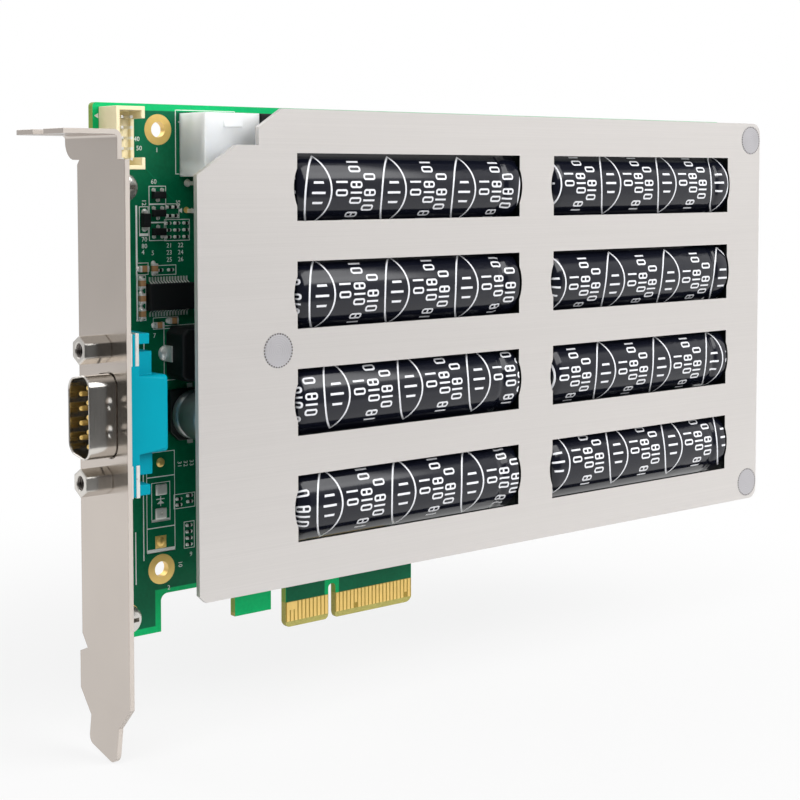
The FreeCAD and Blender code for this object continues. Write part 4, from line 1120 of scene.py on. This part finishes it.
class CARD_OT_pads(bpy.types.Operator):
    """Model the domed test points, the probe pad and the tinned pads left empty"""
    bl_idname = "card.pads"
    bl_label = "Test points and pads"

    # Sections of the round pads and of a drill, as height and radius in millimetres
    test_point = ((0, 0.95), (0.12, 0.93), (0.3, 0.75), (0.42, 0.5), (0.47, 0.2))
    probe_pad = ((0, 0.62), (0.05, 0.62), (0.05, 0.34), (0.02, 0.3))
    solder_spot = ((0, 0.8), (0.25, 0.68), (0.4, 0.4), (0.44, 0.15))
    drill = ((0.15, 0.3), (1, 0.3))
    # Width, height, thickness and easing of the square pads, in millimetres
    gold_pad = (2.5, 2.5, 0.06, 0.02)
    diode_pad = (2.6, 2.2, 0.5, 0.4)

    def execute(self, context):
        points = copy_to(
            turned("test_point", in_millimetres(self.test_point), sides=28),
            [on_board(*place) for place in TEST_POINTS], TO_FRONT)
        points.append(self.round_pad("probe_pad", self.probe_pad, PROBE_PAD, sides=28))
        points.append(self.square_pad("square_pad", TEST_POINTS[1], *self.gold_pad))
        piece = join("test_points", points)
        smooth(piece)
        hand_in(piece, "gold_plating")
        lumps = [self.round_pad("solder_spot", self.solder_spot, SOLDER_SPOT, sides=24)]
        lumps += [self.square_pad("empty_pad", place, *self.diode_pad) for place in EMPTY_DIODE_PADS]
        cut_away(lumps[-1], self.round_pad("drill", self.drill, EMPTY_DIODE_PADS[1], sides=20))
        piece = join("empty_pads", lumps)
        smooth(piece)
        hand_in(piece, "tinned_metal")
        return {"FINISHED"}

    def round_pad(self, name, section, place, sides):
        """Turned pad on the front of the board."""
        return settle(turned(name, in_millimetres(section), sides), on_board(*place), TO_FRONT)

    def square_pad(self, name, place, wide, tall, thick, easing):
        """Pad on the front of the board, its sizes in millimetres."""
        half = Vector((wide / 2, 0, tall / 2)) * MM
        depth = Vector((0, thick * MM, 0))
        low = on_board(*place) - half - depth
        return block(name, low, on_board(*place) + half, easing * MM, steps=3)


class CARD_OT_solder(bpy.types.Operator):
    """Model one solder joint and copy it to each lead behind the board"""
    bl_idname = "card.solder"
    bl_label = "Solder joints"

    # Section in shares of a joint's height and of its foot's radius
    joint_section = ((0, 1), (0.08, 0.98), (0.25, 0.8), (0.5, 0.6), (0.8, 0.47), (1.0, 0.3))
    # Half of a square pin, in millimetres
    serial_pin_half = 0.3
    power_pin_half = 0.4

    def execute(self, context):
        sizes = context.scene.card_sizes
        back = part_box("circuit_board")[1].y
        spots = [Vector((bend.x, back, bend.z)) for bend in cell_lead_bends(sizes)]
        for low, high in solid_boxes("serial_pins"):
            spots.append(Vector((high.x - self.serial_pin_half * MM, back, (low.z + high.z) / 2)))
        spots += [middle_at(corners, back) for corners in solid_boxes("box_header_pins")]
        for low, high in solid_boxes("power_header_pins"):
            spots.append(Vector(((low.x + high.x) / 2, back, low.z + self.power_pin_half * MM)))
        rings = in_shares(self.joint_section, sizes.joint_height, sizes.joint_diameter / 2)
        piece = join("solder_joints", copy_to(turned("solder_joint", rings, sides=20), spots, TO_BACK))
        smooth(piece, degrees=60)
        hand_in(piece, "tinned_metal")
        return {"FINISHED"}


class CARD_OT_fillets(bpy.types.Operator):
    """Model one solder fillet and copy it to the ends of the chips and to the flat leads"""
    bl_idname = "card.fillets"
    bl_label = "Solder fillets"

    # Nodes soldered at both ends or in the middle, with the fillet's radius in millimetres
    at_ends = (("chip_resistors", 0.34), ("ceramic_capacitors", 0.55))
    at_middles = (
        ("small_transistor_leads", 0.42), ("diode_terminals", 0.65), ("inductor_terminals", 1.6))
    # Section in shares of a fillet's radius
    fillet_section = ((0, 1), (0.16, 0.93), (0.36, 0.7), (0.5, 0.3))

    def execute(self, context):
        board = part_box("circuit_board")[0].y
        spots = []
        for node, radius in self.at_ends:
            for low, high in solid_boxes(node):
                along = 2 if high.z - low.z > high.x - low.x else 0
                for edge in (low[along], high[along]):
                    spot = middle_at((low, high), board)
                    spot[along] = edge
                    spots.append((spot, radius * MM))
        for node, radius in self.at_middles:
            spots += [(middle_at(corners, board), radius * MM) for corners in solid_boxes(node)]
        fillets = []
        for radius in sorted({radius for _, radius in spots}):
            fillet = turned("fillet", in_shares(self.fillet_section, radius, radius), sides=14)
            fillets += copy_to(fillet, [spot for spot, wide in spots if wide == radius], TO_FRONT)
        piece = join("solder_fillets", fillets)
        smooth(piece, degrees=60)
        hand_in(piece, "tinned_metal")
        return {"FINISHED"}


class CARD_OT_eased(bpy.types.Operator):
    """Ease the edges of the pressed, turned and moulded pieces"""
    bl_idname = "card.eased"
    bl_label = "Eased pieces"

    # Node, slot and easing in millimetres
    kinds = (
        ("cover_plate", "brushed_steel", 0.15), ("serial_body", "teal_plastic", 0.35),
        ("jackscrews", "nickel_plate", 0.2), ("power_header", "natural_nylon", 0.15),
        ("box_header", "ivory_plastic", 0.12), ("charger_chip", "chip_moulding", 0.1),
        ("power_transistors", "chip_moulding", 0.1), ("small_transistors", "chip_moulding", 0.08),
        ("diodes", "chip_moulding", 0.1), ("inductor", "chip_moulding", 0.4),
        ("filter_capacitor_base", "black_plastic", 0.2), ("screw_lock_clips", "tinned_metal", 0.1))
    # Rounding of the teal body's rims, and how far its rounded front corner reaches, in millimetres
    rim_radius = 0.8
    corner_reach = 0.95

    def execute(self, context):
        for node, slot, easing in self.kinds:
            piece = merged_copy(node, node + "_eased")
            if node == "serial_body":
                self.round_rims(piece)
            ease(piece, easing * MM)
            hand_in(piece, slot, node)
        return {"FINISHED"}

    def round_rims(self, piece):
        """Rounds the upper and lower rim of the block that lies farthest from the bracket."""
        edit(piece)
        bpy.ops.mesh.select_mode(type="EDGE")
        bpy.ops.mesh.select_all(action="DESELECT")
        bpy.ops.object.mode_set(mode="OBJECT")
        points = [vertex.co for vertex in piece.data.vertices]
        near = 0.01 * MM
        far = max(point.x for point in points)
        front = min(point.y for point in points)
        heights = [point.z for point in points if point.x > far - near]
        for line in piece.data.edges:
            first, second = [points[index] for index in line.vertices]
            level = abs(first.z - second.z) < near
            on_rim = min(abs(first.z - height) for height in heights) < near
            beside = min(first.x, second.x) > far - self.corner_reach * MM
            ahead = max(first.y, second.y) < front + near
            line.select = level and on_rim and (beside or ahead)
        bpy.ops.object.mode_set(mode="EDIT")
        bpy.ops.mesh.bevel(offset=self.rim_radius * MM, segments=4, clamp_overlap=False)
        bpy.ops.mesh.select_mode(type="VERT")
        bpy.ops.object.mode_set(mode="OBJECT")


class CARD_OT_shell(bpy.types.Operator):
    """Ease the serial connector's shell, press its grip dimples into it and thread the jackscrews"""
    bl_idname = "card.shell"
    bl_label = "Serial shell"

    # Easing and wall of the shell, and the dimples' distance from its mouth and from its middle,
    # in millimetres
    easing = 0.2
    wall = 0.45
    dimple_from_mouth = 4.1
    dimple_from_middle = 2.6
    # Half sizes of a dimple along the connector, into the wall and along the bracket, in millimetres
    dimple_halves = (0.65, 0.3, 1.1)
    thread_turns = 9
    # Pitch of the thread, its radii at root, crest and back, and its distance from the mouth,
    # in millimetres
    thread_pitch = 0.5
    thread_root = 1.34
    thread_crest = 1.12
    thread_back = 1.36
    thread_from_mouth = 0.3

    def execute(self, context):
        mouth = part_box("serial_shell")[0].x
        low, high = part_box("serial_insulator")
        piece = merged_copy("serial_shell", "serial_shell_eased")
        ease(piece, self.easing * MM)
        for side in (-1, 1):
            place_z = (low.z + high.z) / 2 + side * self.dimple_from_middle * MM
            spot = Vector((mouth + self.dimple_from_mouth * MM, low.y - self.wall * MM, place_z))
            pick()
            bpy.ops.mesh.primitive_uv_sphere_add(
                segments=24, ring_count=12, radius=1 * MM, location=spot, scale=self.dimple_halves)
            cut_away(piece, bpy.context.object)
        threads = self.threads()
        hand_in(piece, "nickel_plate", "serial_shell", finish="shell_plate")
        # The threads get the dark finish as painted shade inside the jackscrews' mouths
        hand_in(threads, "nickel_plate", finish="painted_shade_steel")
        return {"FINISHED"}

    def threads(self):
        """Threads in the mouths of the jackscrews."""
        pitch = self.thread_pitch
        end = self.thread_turns * pitch
        section = []
        for turn in range(self.thread_turns):
            section += [(turn * pitch, self.thread_root), ((turn + 0.5) * pitch, self.thread_crest)]
        section += [(end, self.thread_root), (end, self.thread_back), (0, self.thread_back)]
        thread = turned("thread", in_millimetres(section), sides=24, hollow=True)
        spots = []
        for low, high in solid_boxes("jackscrews"):
            spot = (low + high) / 2
            spot.x = low.x + self.thread_from_mouth * MM
            spots.append(spot)
        return join("jackscrew_threads", copy_to(thread, spots, TO_FAR_END))


class CARD_OT_chips(bpy.types.Operator):
    """Model chip resistors and capacitors with tinned ends"""
    bl_idname = "card.chips"
    bl_label = "Chip resistors and capacitors"

    # Node, finish of the body, and how many smallest caps wide its tinned ends are
    kinds = (
        ("chip_resistors", "chip_moulding", 1.0),
        ("ceramic_capacitors", "tan_ceramic", 2.0),
        ("balance_resistors", "chip_moulding", 2.2))
    # Easing of a chip's edges, in millimetres
    easing = 0.05

    def execute(self, context):
        cap = context.scene.card_sizes.chip_cap
        for node, body, widths in self.kinds:
            boxes = solid_boxes(node)
            pieces = []
            for upright in (False, True):
                alike = [corners for corners in boxes if self.is_upright(corners) == upright]
                if alike:
                    low, high = alike[0]
                    chip = self.model(high - low, upright, cap * widths, finishes()[body])
                    pieces += copy_to(chip, [(low + high) / 2 for low, high in alike])
            piece = join(node + "_capped", pieces)
            smooth(piece, degrees=40)
            hand_in(piece, body, node)
        return {"FINISHED"}

    def is_upright(self, corners):
        size = corners[1] - corners[0]
        return size.z > size.x

    def model(self, size, upright, cap, body):
        """One chip about the origin, its ends along X, or along Z where it stands upright."""
        chip = block("chip", -size / 2, size / 2)
        along = 2 if upright else 0
        edge = size[along] / 2 - cap
        axis = UP if upright else TO_FAR_END
        edit(chip)
        for side in (-1, 1):
            bpy.ops.mesh.select_all(action="SELECT")
            bpy.ops.mesh.bisect(plane_co=axis * side * edge, plane_no=axis)
        bpy.ops.object.mode_set(mode="OBJECT")
        chip.data.materials.append(body)
        chip.data.materials.append(finishes()["tinned_metal"])
        for face in chip.data.polygons:
            if abs(face.center[along]) > edge:
                face.material_index = 1
        apply_modifier(chip, "BEVEL", width=self.easing * MM, segments=2, limit_method="ANGLE")
        return chip


class CARD_OT_serial_pins(bpy.types.Operator):
    """Model the serial connector's round pins with their tails bent into the board"""
    bl_idname = "card.serial_pins"
    bl_label = "Serial pins"

    # Radius of a contact and of its tip, length held in the insulator, half of a stem and easing of
    # a tail, in millimetres
    contact_radius = 0.5
    tip_radius = 0.08
    held_length = 0.5
    stem_half = 0.3
    tail_easing = 0.08

    def execute(self, context):
        contact = self.contact_radius * MM
        stem = self.stem_half * MM
        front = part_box("serial_insulator")[0].x
        pins = []
        for low, high in solid_boxes("serial_pins"):
            axis_y = low.y + contact
            axis_z = (low.z + high.z) / 2
            reach = front - low.x
            rings = [(-self.held_length * MM, contact)]
            rings += rounding((reach - contact, contact), (reach, self.tip_radius * MM), steps=5)
            pins.append(settle(turned("pin", rings, sides=20), (front, axis_y, axis_z), TO_BRACKET))
            run_low = Vector((front, axis_y - stem, axis_z - stem))
            run_high = Vector((high.x, axis_y + stem, axis_z + stem))
            pins.append(block("stem", run_low, run_high))
            drop_low = Vector((high.x - 2 * stem, axis_y - stem, axis_z - stem))
            drop_high = Vector((high.x, high.y, axis_z + stem))
            pins.append(block("tail", drop_low, drop_high, self.tail_easing * MM))
        piece = join("serial_pins_round", pins)
        smooth(piece)
        hand_in(piece, "gold_plating", "serial_pins")
        return {"FINISHED"}


class CARD_OT_standoff_heads(bpy.types.Operator):
    """Model the turned face of each standoff's head, with painted shade for the gaps of its serrated rim
    """
    bl_idname = "card.standoff_heads"
    bl_label = "Standoff heads"

    turning_marks = 7
    # Height of the face, slope and width of the groove inside its rim and of a turning mark,
    # in millimetres
    face_height = 0.03
    groove_slope = 0.05
    groove_width = 0.1
    mark_slope = 0.12
    mark_width = 0.2
    # Floors of the groove and of a turning mark, in shares of the face's height
    groove_floor = 0.4
    mark_floor = 0.5

    def execute(self, context):
        sizes = context.scene.card_sizes
        boxes = solid_boxes("cover_standoffs")
        low, high = boxes[0]
        head = (high.x - low.x) / 2
        face = self.model(head, head - sizes.rim_width, 2 * sizes.rim_teeth)
        spots = [middle_at(corners, corners[0].y) for corners in boxes]
        piece = join("standoff_heads", copy_to(face, spots, TO_FRONT))
        hand_in(piece, "plated_steel", finish="turned_head")
        return {"FINISHED"}

    def model(self, head, inner, sides):
        """One head along Z with a groove inside its rim, every other side of the rim painted dark as
        shade in the gaps between its teeth.
        """
        film = self.face_height * MM
        rings = [(0, head), (film, head), (film, inner)]
        rings.append((film * self.groove_floor, inner - self.groove_slope * MM))
        for mark in range(self.turning_marks):
            place = (inner - self.groove_width * MM) * (1 - mark / self.turning_marks)
            rings.append((film * self.mark_floor, place))
            rings += [(film, place - self.mark_slope * MM), (film, place - self.mark_width * MM)]
        face = turned("standoff_head", rings, sides)
        for finish in ("turned_head", "painted_shade_steel"):
            face.data.materials.append(finishes()[finish])
        for part in face.data.polygons:
            outer = math.hypot(part.center.x, part.center.y) > inner
            angle = math.atan2(part.center.y, part.center.x)
            number = round(angle / (2 * math.pi) * sides - 0.5)
            # Every other face of the flat rim is painted shade, standing in for a gap between teeth
            if outer and part.center.z > film / 2 and number % 2:
                part.material_index = 1
        return face


class CARD_OT_filter_can(bpy.types.Operator):
    """Model the filter capacitor's can with its crimp and scored top"""
    bl_idname = "card.filter_can"
    bl_label = "Filter capacitor can"

    # Crimp as height and depth, easings of the two ends and the floor's edge, in millimetres
    crimp = ((1.2, 0), (1.5, 0.15), (1.8, 0.4), (2.1, 0.45), (2.4, 0.4), (2.7, 0.15), (3.0, 0))
    foot_easing = 0.4
    floor_inset = 0.5
    top_easing = 0.7
    # Step in the top from and to these distances inside the can's side, its depth and the middle's
    # radius, in millimetres
    step_outer = 1.3
    step_inner = 1.6
    step_depth = 0.15
    top_middle = 0.4

    def execute(self, context):
        low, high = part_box("filter_capacitor_can")
        radius = (high.x - low.x) / 2
        tall = high.y - low.y
        foot = self.foot_easing * MM
        shoulder = self.top_easing * MM
        step = tall - self.step_depth * MM
        rings = [(0, radius - self.floor_inset * MM)]
        rings += rounding((0, radius - foot), (foot, radius), steps=3)
        rings += [(height * MM, radius - sink * MM) for height, sink in self.crimp]
        rings += rounding((tall - shoulder, radius), (tall, radius - shoulder), steps=5)
        rings += [(tall, radius - self.step_outer * MM), (step, radius - self.step_inner * MM)]
        rings.append((step, self.top_middle * MM))
        can = turned("filter_can", rings, sides=64)
        settle(can, middle_at((low, high), high.y), TO_FRONT)
        smooth(can, degrees=30)
        hand_in(can, "can_aluminium", "filter_capacitor_can")
        return {"FINISHED"}


class CARD_OT_board_print(bpy.types.Operator):
    """Print outlines, marks and plain numbers on the board"""
    bl_idname = "card.board_print"
    bl_label = "Board print"

    # Outlines and bars as left, top, right and bottom, from the board's bracket end and top edge,
    # in millimetres
    outlines = (
        (18.2, 0.99, 32.25, 13.74), (12.1, 16.0, 16.0, 19.6), (12.1, 19.6, 16.0, 23.2),
        (12.1, 23.2, 16.0, 26.8), (9.9, 20.0, 12.0, 25.4), (15.5, 22.6, 21.4, 26.9),
        (13.4, 31.6, 18.2, 33.6), (9.3, 31.0, 11.9, 33.4), (9.1, 33.5, 11.3, 42.4),
        (12.8, 41.9, 18.6, 44.3), (12.1, 74.72, 16.4, 82.53), (11.0, 68.6, 17.5, 88.83),
        (17.2, 77.6, 22.2, 80.6), (19.5, 83.4, 22.0, 88.9), (15.9, 19.5, 19.0, 22.4),
        (15.2, 43.6, 26.8, 54.6))
    bars = (
        (9.1, 19.8, 9.5, 42.2), (11.0, 88.03, 17.5, 88.83), (9.9, 25.4, 12.0, 25.8),
        (10.6, 46.0, 10.85, 56.0), (12.1, 82.1, 16.4, 82.6), (11.0, 73.5, 17.5, 73.7),
        (11.0, 83.67, 17.5, 83.87), (10.2, 66.0, 10.4, 90.0), (8.4, 84.0, 8.6, 94.5))
    # Arrow and bar between the pads of the diode that isn't fitted, given in the same way
    diode_sign = (
        (13.2, 78.0, 15.1, 78.2), (13.45, 78.85, 14.95, 79.05), (13.7, 78.65, 14.7, 78.85),
        (13.95, 78.45, 14.45, 78.65), (14.1, 77.6, 14.3, 79.5))
    # Number, its lower left corner and whether it is turned a quarter
    numbers = (
        ("1", 13.7, 9.4, 0), ("2", 15.6, 96.6, 0), ("40", 8.9, 7.3, 0), ("50", 9.4, 9.1, 0),
        ("60", 12.6, 15.6, 0), ("12", 10.6, 18.6, 1), ("70", 10.4, 26.9, 0), ("80", 10.4, 28.2, 0),
        ("52", 18.3, 18.8, 1), ("3", 1.6, 100.0, 0), ("21", 16.0, 28.2, 0), ("22", 18.6, 28.2, 0),
        ("23", 16.0, 29.6, 0), ("24", 18.6, 29.6, 0), ("25", 16.0, 31.0, 0), ("26", 18.6, 31.0, 0),
        ("4", 10.4, 29.4, 0), ("5", 12.6, 29.6, 0), ("6", 13.2, 35.2, 0), ("7", 12.8, 45.9, 0),
        ("8", 17.4, 45.9, 0), ("31", 18.2, 71.0, 1), ("32", 19.6, 71.0, 1), ("33", 21.0, 71.0, 1),
        ("9", 20.8, 90.6, 0), ("10", 18.2, 91.2, 1))
    # Middle of each arrow head and which way it points along the card, and the radius of a head,
    # in millimetres
    triangles = ((19.35, 20.9, 1), (22.1, 20.9, -1), (0.95, 2.6, 1), (19.4, 3.4, 1))
    triangle_radius = 0.6

    def execute(self, context):
        sizes = context.scene.card_sizes
        line = sizes.print_line / MM
        marks = []
        for left, top, right, bottom in self.outlines:
            sides = (
                (left, top, right, top + line), (left, bottom - line, right, bottom),
                (left, top, left + line, bottom), (right - line, top, right, bottom))
            marks += [self.bar(*side) for side in sides]
        marks += [self.bar(*bar) for bar in self.bars]
        marks += [self.triangle(*triangle) for triangle in self.triangles]
        marks += [self.number(*number, sizes.number_height) for number in self.numbers]
        marks += [self.bar(*bar) for bar in self.diode_sign]
        piece = join("board_print", marks)
        apply_modifier(piece, "SOLIDIFY", thickness=sizes.print_height, offset=1)
        hand_in(piece, "solder_mask", finish="board_print")
        return {"FINISHED"}

    def bar(self, left, top, right, bottom):
        """Flat bar of print on the front of the board."""
        pick()
        middle = on_board((left + right) / 2, (top + bottom) / 2)
        bpy.ops.mesh.primitive_plane_add(size=1, location=middle, rotation=(math.pi / 2, 0, 0))
        piece = bpy.context.object
        piece.scale = ((right - left) * MM, (bottom - top) * MM, 1)
        bpy.ops.object.transform_apply(location=True, rotation=True, scale=True)
        return piece

    def triangle(self, left, top, aim):
        """Arrow head that points along the card, one way or the other."""
        pick()
        middle = on_board(left, top)
        bpy.ops.mesh.primitive_circle_add(
            vertices=3, radius=self.triangle_radius * MM, fill_type="NGON", location=middle,
            rotation=(math.pi / 2, 0, 0))
        piece = bpy.context.object
        edit(piece)
        bpy.ops.transform.rotate(value=aim * math.pi / 2, orient_axis="Y", center_override=middle)
        bpy.ops.object.mode_set(mode="OBJECT")
        bpy.ops.object.transform_apply(location=True, rotation=True, scale=True)
        return piece

    def number(self, body, left, top, quarter, height):
        """Plain number, upright or turned a quarter."""
        pick()
        bpy.ops.object.text_add(
            location=on_board(left, top), rotation=(math.pi / 2, quarter * math.pi / 2, 0))
        text = bpy.context.object.data
        text.body = body
        text.size = height
        text.resolution_u = 2
        bpy.ops.object.convert(target="MESH")
        bpy.ops.object.transform_apply(location=True, rotation=True, scale=True)
        return bpy.context.object


class CARD_OT_stage(bpy.types.Operator):
    """Set up the floor, the soft light and the camera"""
    bl_idname = "card.stage"
    bl_label = "Stage"

    # Name, place, aim, width, height and power of each lamp in metres and watts, and if it is mirrored
    lamps = (
        ("key_light", (0.62, -0.72, 0.42), (0.03, 0, 0.06), 0.9, 0.7, 7.0, False),
        ("fill_light", (0.32, -0.72, 0.6), (0.03, 0, 0.06), 0.7, 0.5, 3.8, True),
        ("side_light", (-0.9, -0.15, 0.35), (-0.04, 0, 0.07), 0.5, 0.5, 2.0, False),
        ("top_light", (-0.45, -0.35, 0.85), (0, 0, 0.08), 0.6, 0.6, 3.6, False),
        ("back_light", (-0.2, 0.8, 0.6), (0.03, 0, 0.06), 0.8, 0.6, 2.4, True))
    # Middle of the floor in metres, its gap below the card in millimetres, and its shade
    floor_middle = (0.03, 0.16)
    floor_gap = 0.2
    floor_shade = 0.7
    # How white the camera sees the floor, from its middle outwards, by distance in metres
    floor_fade = {"From Min": 0.05, "From Max": 0.22, "To Min": 0.8, "To Max": 1.0}
    # The mirrored studio: turns from straight ahead in radians and heights of a direction, each with
    # its softness
    behind_from = (1.8, 0.6)
    panel_from = (0.56, 0.12)
    panel_to = (1.3, 0.2)
    panel_top = (0.5, 0.05)
    ceiling_from = (0.76, 0.3)
    # How the panel's level grows with the turn
    panel_growth = 1.2
    panel_drop = 0.15
    # Camera's sensor in millimetres and its nearest distance in metres
    sensor_width = 36
    nearest = 0.01

    def execute(self, context):
        studio = context.scene.card_studio
        self.floor(studio)
        self.background(context.scene, studio)
        for lamp in self.lamps:
            self.lamp(*lamp)
        self.camera(context.scene, studio)
        context.scene.view_settings.view_transform = "Standard"
        return {"FINISHED"}

    def floor(self, studio):
        """Pale floor under the card, white to the camera apart from a soft shadow."""
        pick()
        below = (*self.floor_middle, cad_box[0][2] - self.floor_gap * MM)
        bpy.ops.mesh.primitive_plane_add(size=studio.floor_size, location=below)
        plane = bpy.context.object
        plane.name = "floor"
        bpy.ops.object.transform_apply(location=True, rotation=True, scale=True)
        material = bpy.data.materials.new("pale_floor")
        material.use_nodes = True
        tree = material.node_tree
        shader = tree.nodes["Principled BSDF"]
        shader.inputs["Base Color"].default_value = (*[self.floor_shade] * 3, 1)
        shader.inputs["Roughness"].default_value = 0.9
        shader.inputs["Specular IOR Level"].default_value = 0.0
        place = tree.nodes.new("ShaderNodeTexCoord")
        away = tree.nodes.new("ShaderNodeVectorMath")
        away.operation = "LENGTH"
        tree.links.new(place.outputs["Object"], away.inputs[0])
        fade = tree.nodes.new("ShaderNodeMapRange")
        fade.interpolation_type = "SMOOTHSTEP"
        for entry, value in self.floor_fade.items():
            fade.inputs[entry].default_value = value
        tree.links.new(away.outputs["Value"], fade.inputs["Value"])
        seen = self.rays(tree, "Is Camera Ray", "Is Glossy Ray", "Is Transmission Ray")
        white = tree.nodes.new("ShaderNodeEmission")
        self.blend(tree, seen * Field(tree, fade.outputs[0]), shader, white, "Material Output")
        plane.data.materials.append(material)

    def rays(self, tree, *kinds):
        """1 for rays of these kinds, otherwise 0."""
        path = tree.nodes.new("ShaderNodeLightPath")
        found = Field(tree, path.outputs[kinds[0]])
        for kind in kinds[1:]:
            found = found.most(Field(tree, path.outputs[kind]))
        return found

    def blend(self, tree, amount, first, second, output):
        """Goes from the first shader to the second as amount goes from 0 to 1."""
        mix = tree.nodes.new("ShaderNodeMixShader")
        for entry, socket in zip(mix.inputs, (amount.socket, first.outputs[0], second.outputs[0])):
            tree.links.new(socket, entry)
        tree.links.new(mix.outputs[0], tree.nodes[output].inputs["Surface"])

    def background(self, scene, studio):
        """White to the camera, even as light, and a plain studio in reflections."""
        world = bpy.data.worlds.new("studio")
        world.use_nodes = True
        scene.world = world
        tree = world.node_tree
        place = tree.nodes.new("ShaderNodeTexCoord")
        split = tree.nodes.new("ShaderNodeSeparateXYZ")
        tree.links.new(place.outputs["Generated"], split.inputs[0])
        x, y, z = [Field(tree, socket) for socket in split.outputs]
        turn = x.work("ARCTAN2", 0 - y)
        behind = turn.size().above(*self.behind_from) * studio.horizon
        panel = turn.above(*self.panel_from) * (1 - turn.above(*self.panel_to))
        panel = panel * (1 - z.above(*self.panel_top))
        panel = panel * (turn * self.panel_growth - self.panel_drop) * studio.panel
        level = behind.most(panel).most(z.above(*self.ceiling_from)).most(studio.dark_front)
        diffuse = self.rays(tree, "Is Diffuse Ray")
        strength = (level - studio.ambient) * (1 - diffuse) + studio.ambient
        light = tree.nodes["Background"]
        white = tree.nodes.new("ShaderNodeBackground")
        for shader in (light, white):
            shader.inputs["Color"].default_value = (1, 1, 1, 1)
        white.inputs["Strength"].default_value = 1.0
        tree.links.new(strength.socket, light.inputs["Strength"])
        seen = self.rays(tree, "Is Camera Ray", "Is Transmission Ray")
        self.blend(tree, seen, light, white, "World Output")

    def lamp(self, name, place, aim, width, height, power, mirrored):
        """Soft lamp that points at its aim."""
        pick()
        bpy.ops.object.light_add(type="AREA", location=place)
        lamp = bpy.context.object
        lamp.name = name
        lamp.data.shape = "RECTANGLE"
        lamp.data.size = width
        lamp.data.size_y = height
        lamp.data.energy = power
        lamp.visible_glossy = mirrored
        lamp.rotation_euler = (Vector(aim) - Vector(place)).to_track_quat("-Z", "Y").to_euler()

    def camera(self, scene, studio):
        """Camera that looks down at the card from the bracket's side."""
        yaw = studio.camera_yaw
        pitch = studio.camera_pitch
        level = math.cos(pitch)
        forward = Vector((math.sin(yaw) * level, math.cos(yaw) * level, -math.sin(pitch)))
        bpy.ops.object.camera_add(location=studio.camera_place)
        camera = bpy.context.object
        camera.rotation_euler = forward.to_track_quat("-Z", "Y").to_euler()
        camera.data.lens = studio.camera_lens
        camera.data.sensor_width = self.sensor_width
        camera.data.shift_y = studio.camera_shift
        camera.data.clip_start = self.nearest
        scene.camera = camera


class CARD_PT_panel(bpy.types.Panel):
    """Steps that dress the card, in order"""
    bl_label = "Backup card"
    bl_idname = "CARD_PT_panel"
    bl_space_type = "VIEW_3D"
    bl_region_type = "UI"
    bl_category = "Card"

    def draw(self, context):
        for step in steps:
            self.layout.operator(step.bl_idname)


property_groups = {"card_colours": CardColours, "card_sizes": CardSizes, "card_studio": StudioSetup}
steps = (
    CARD_OT_solids, CARD_OT_cell_leads, CARD_OT_solder, CARD_OT_shade_strips, CARD_OT_cells, CARD_OT_screws,
    CARD_OT_hole_rings, CARD_OT_pads, CARD_OT_fillets, CARD_OT_chips, CARD_OT_serial_pins,
    CARD_OT_shell, CARD_OT_eased, CARD_OT_standoff_heads, CARD_OT_filter_can, CARD_OT_board_print,
    CARD_OT_stage)


def register():
    for name, group in property_groups.items():
        bpy.utils.register_class(group)
        setattr(bpy.types.Scene, name, PointerProperty(type=group))
    for step in steps:
        bpy.utils.register_class(step)
    bpy.utils.register_class(CARD_PT_panel)


def unregister():
    bpy.utils.unregister_class(CARD_PT_panel)
    for step in reversed(steps):
        bpy.utils.unregister_class(step)
    for name, group in property_groups.items():
        delattr(bpy.types.Scene, name)
        bpy.utils.unregister_class(group)


def main():
    register()
    bpy.ops.card.solids()
    bpy.ops.card.cell_leads()
    bpy.ops.card.solder()
    bpy.ops.card.foam()
    bpy.ops.card.cells()
    bpy.ops.card.screws()
    bpy.ops.card.hole_rings()
    bpy.ops.card.pads()
    bpy.ops.card.fillets()
    bpy.ops.card.chips()
    bpy.ops.card.serial_pins()
    bpy.ops.card.shell()
    bpy.ops.card.eased()
    bpy.ops.card.standoff_heads()
    bpy.ops.card.filter_can()
    bpy.ops.card.board_print()
    bpy.ops.card.stage()
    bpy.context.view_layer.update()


if __name__ == "__main__":
    main()
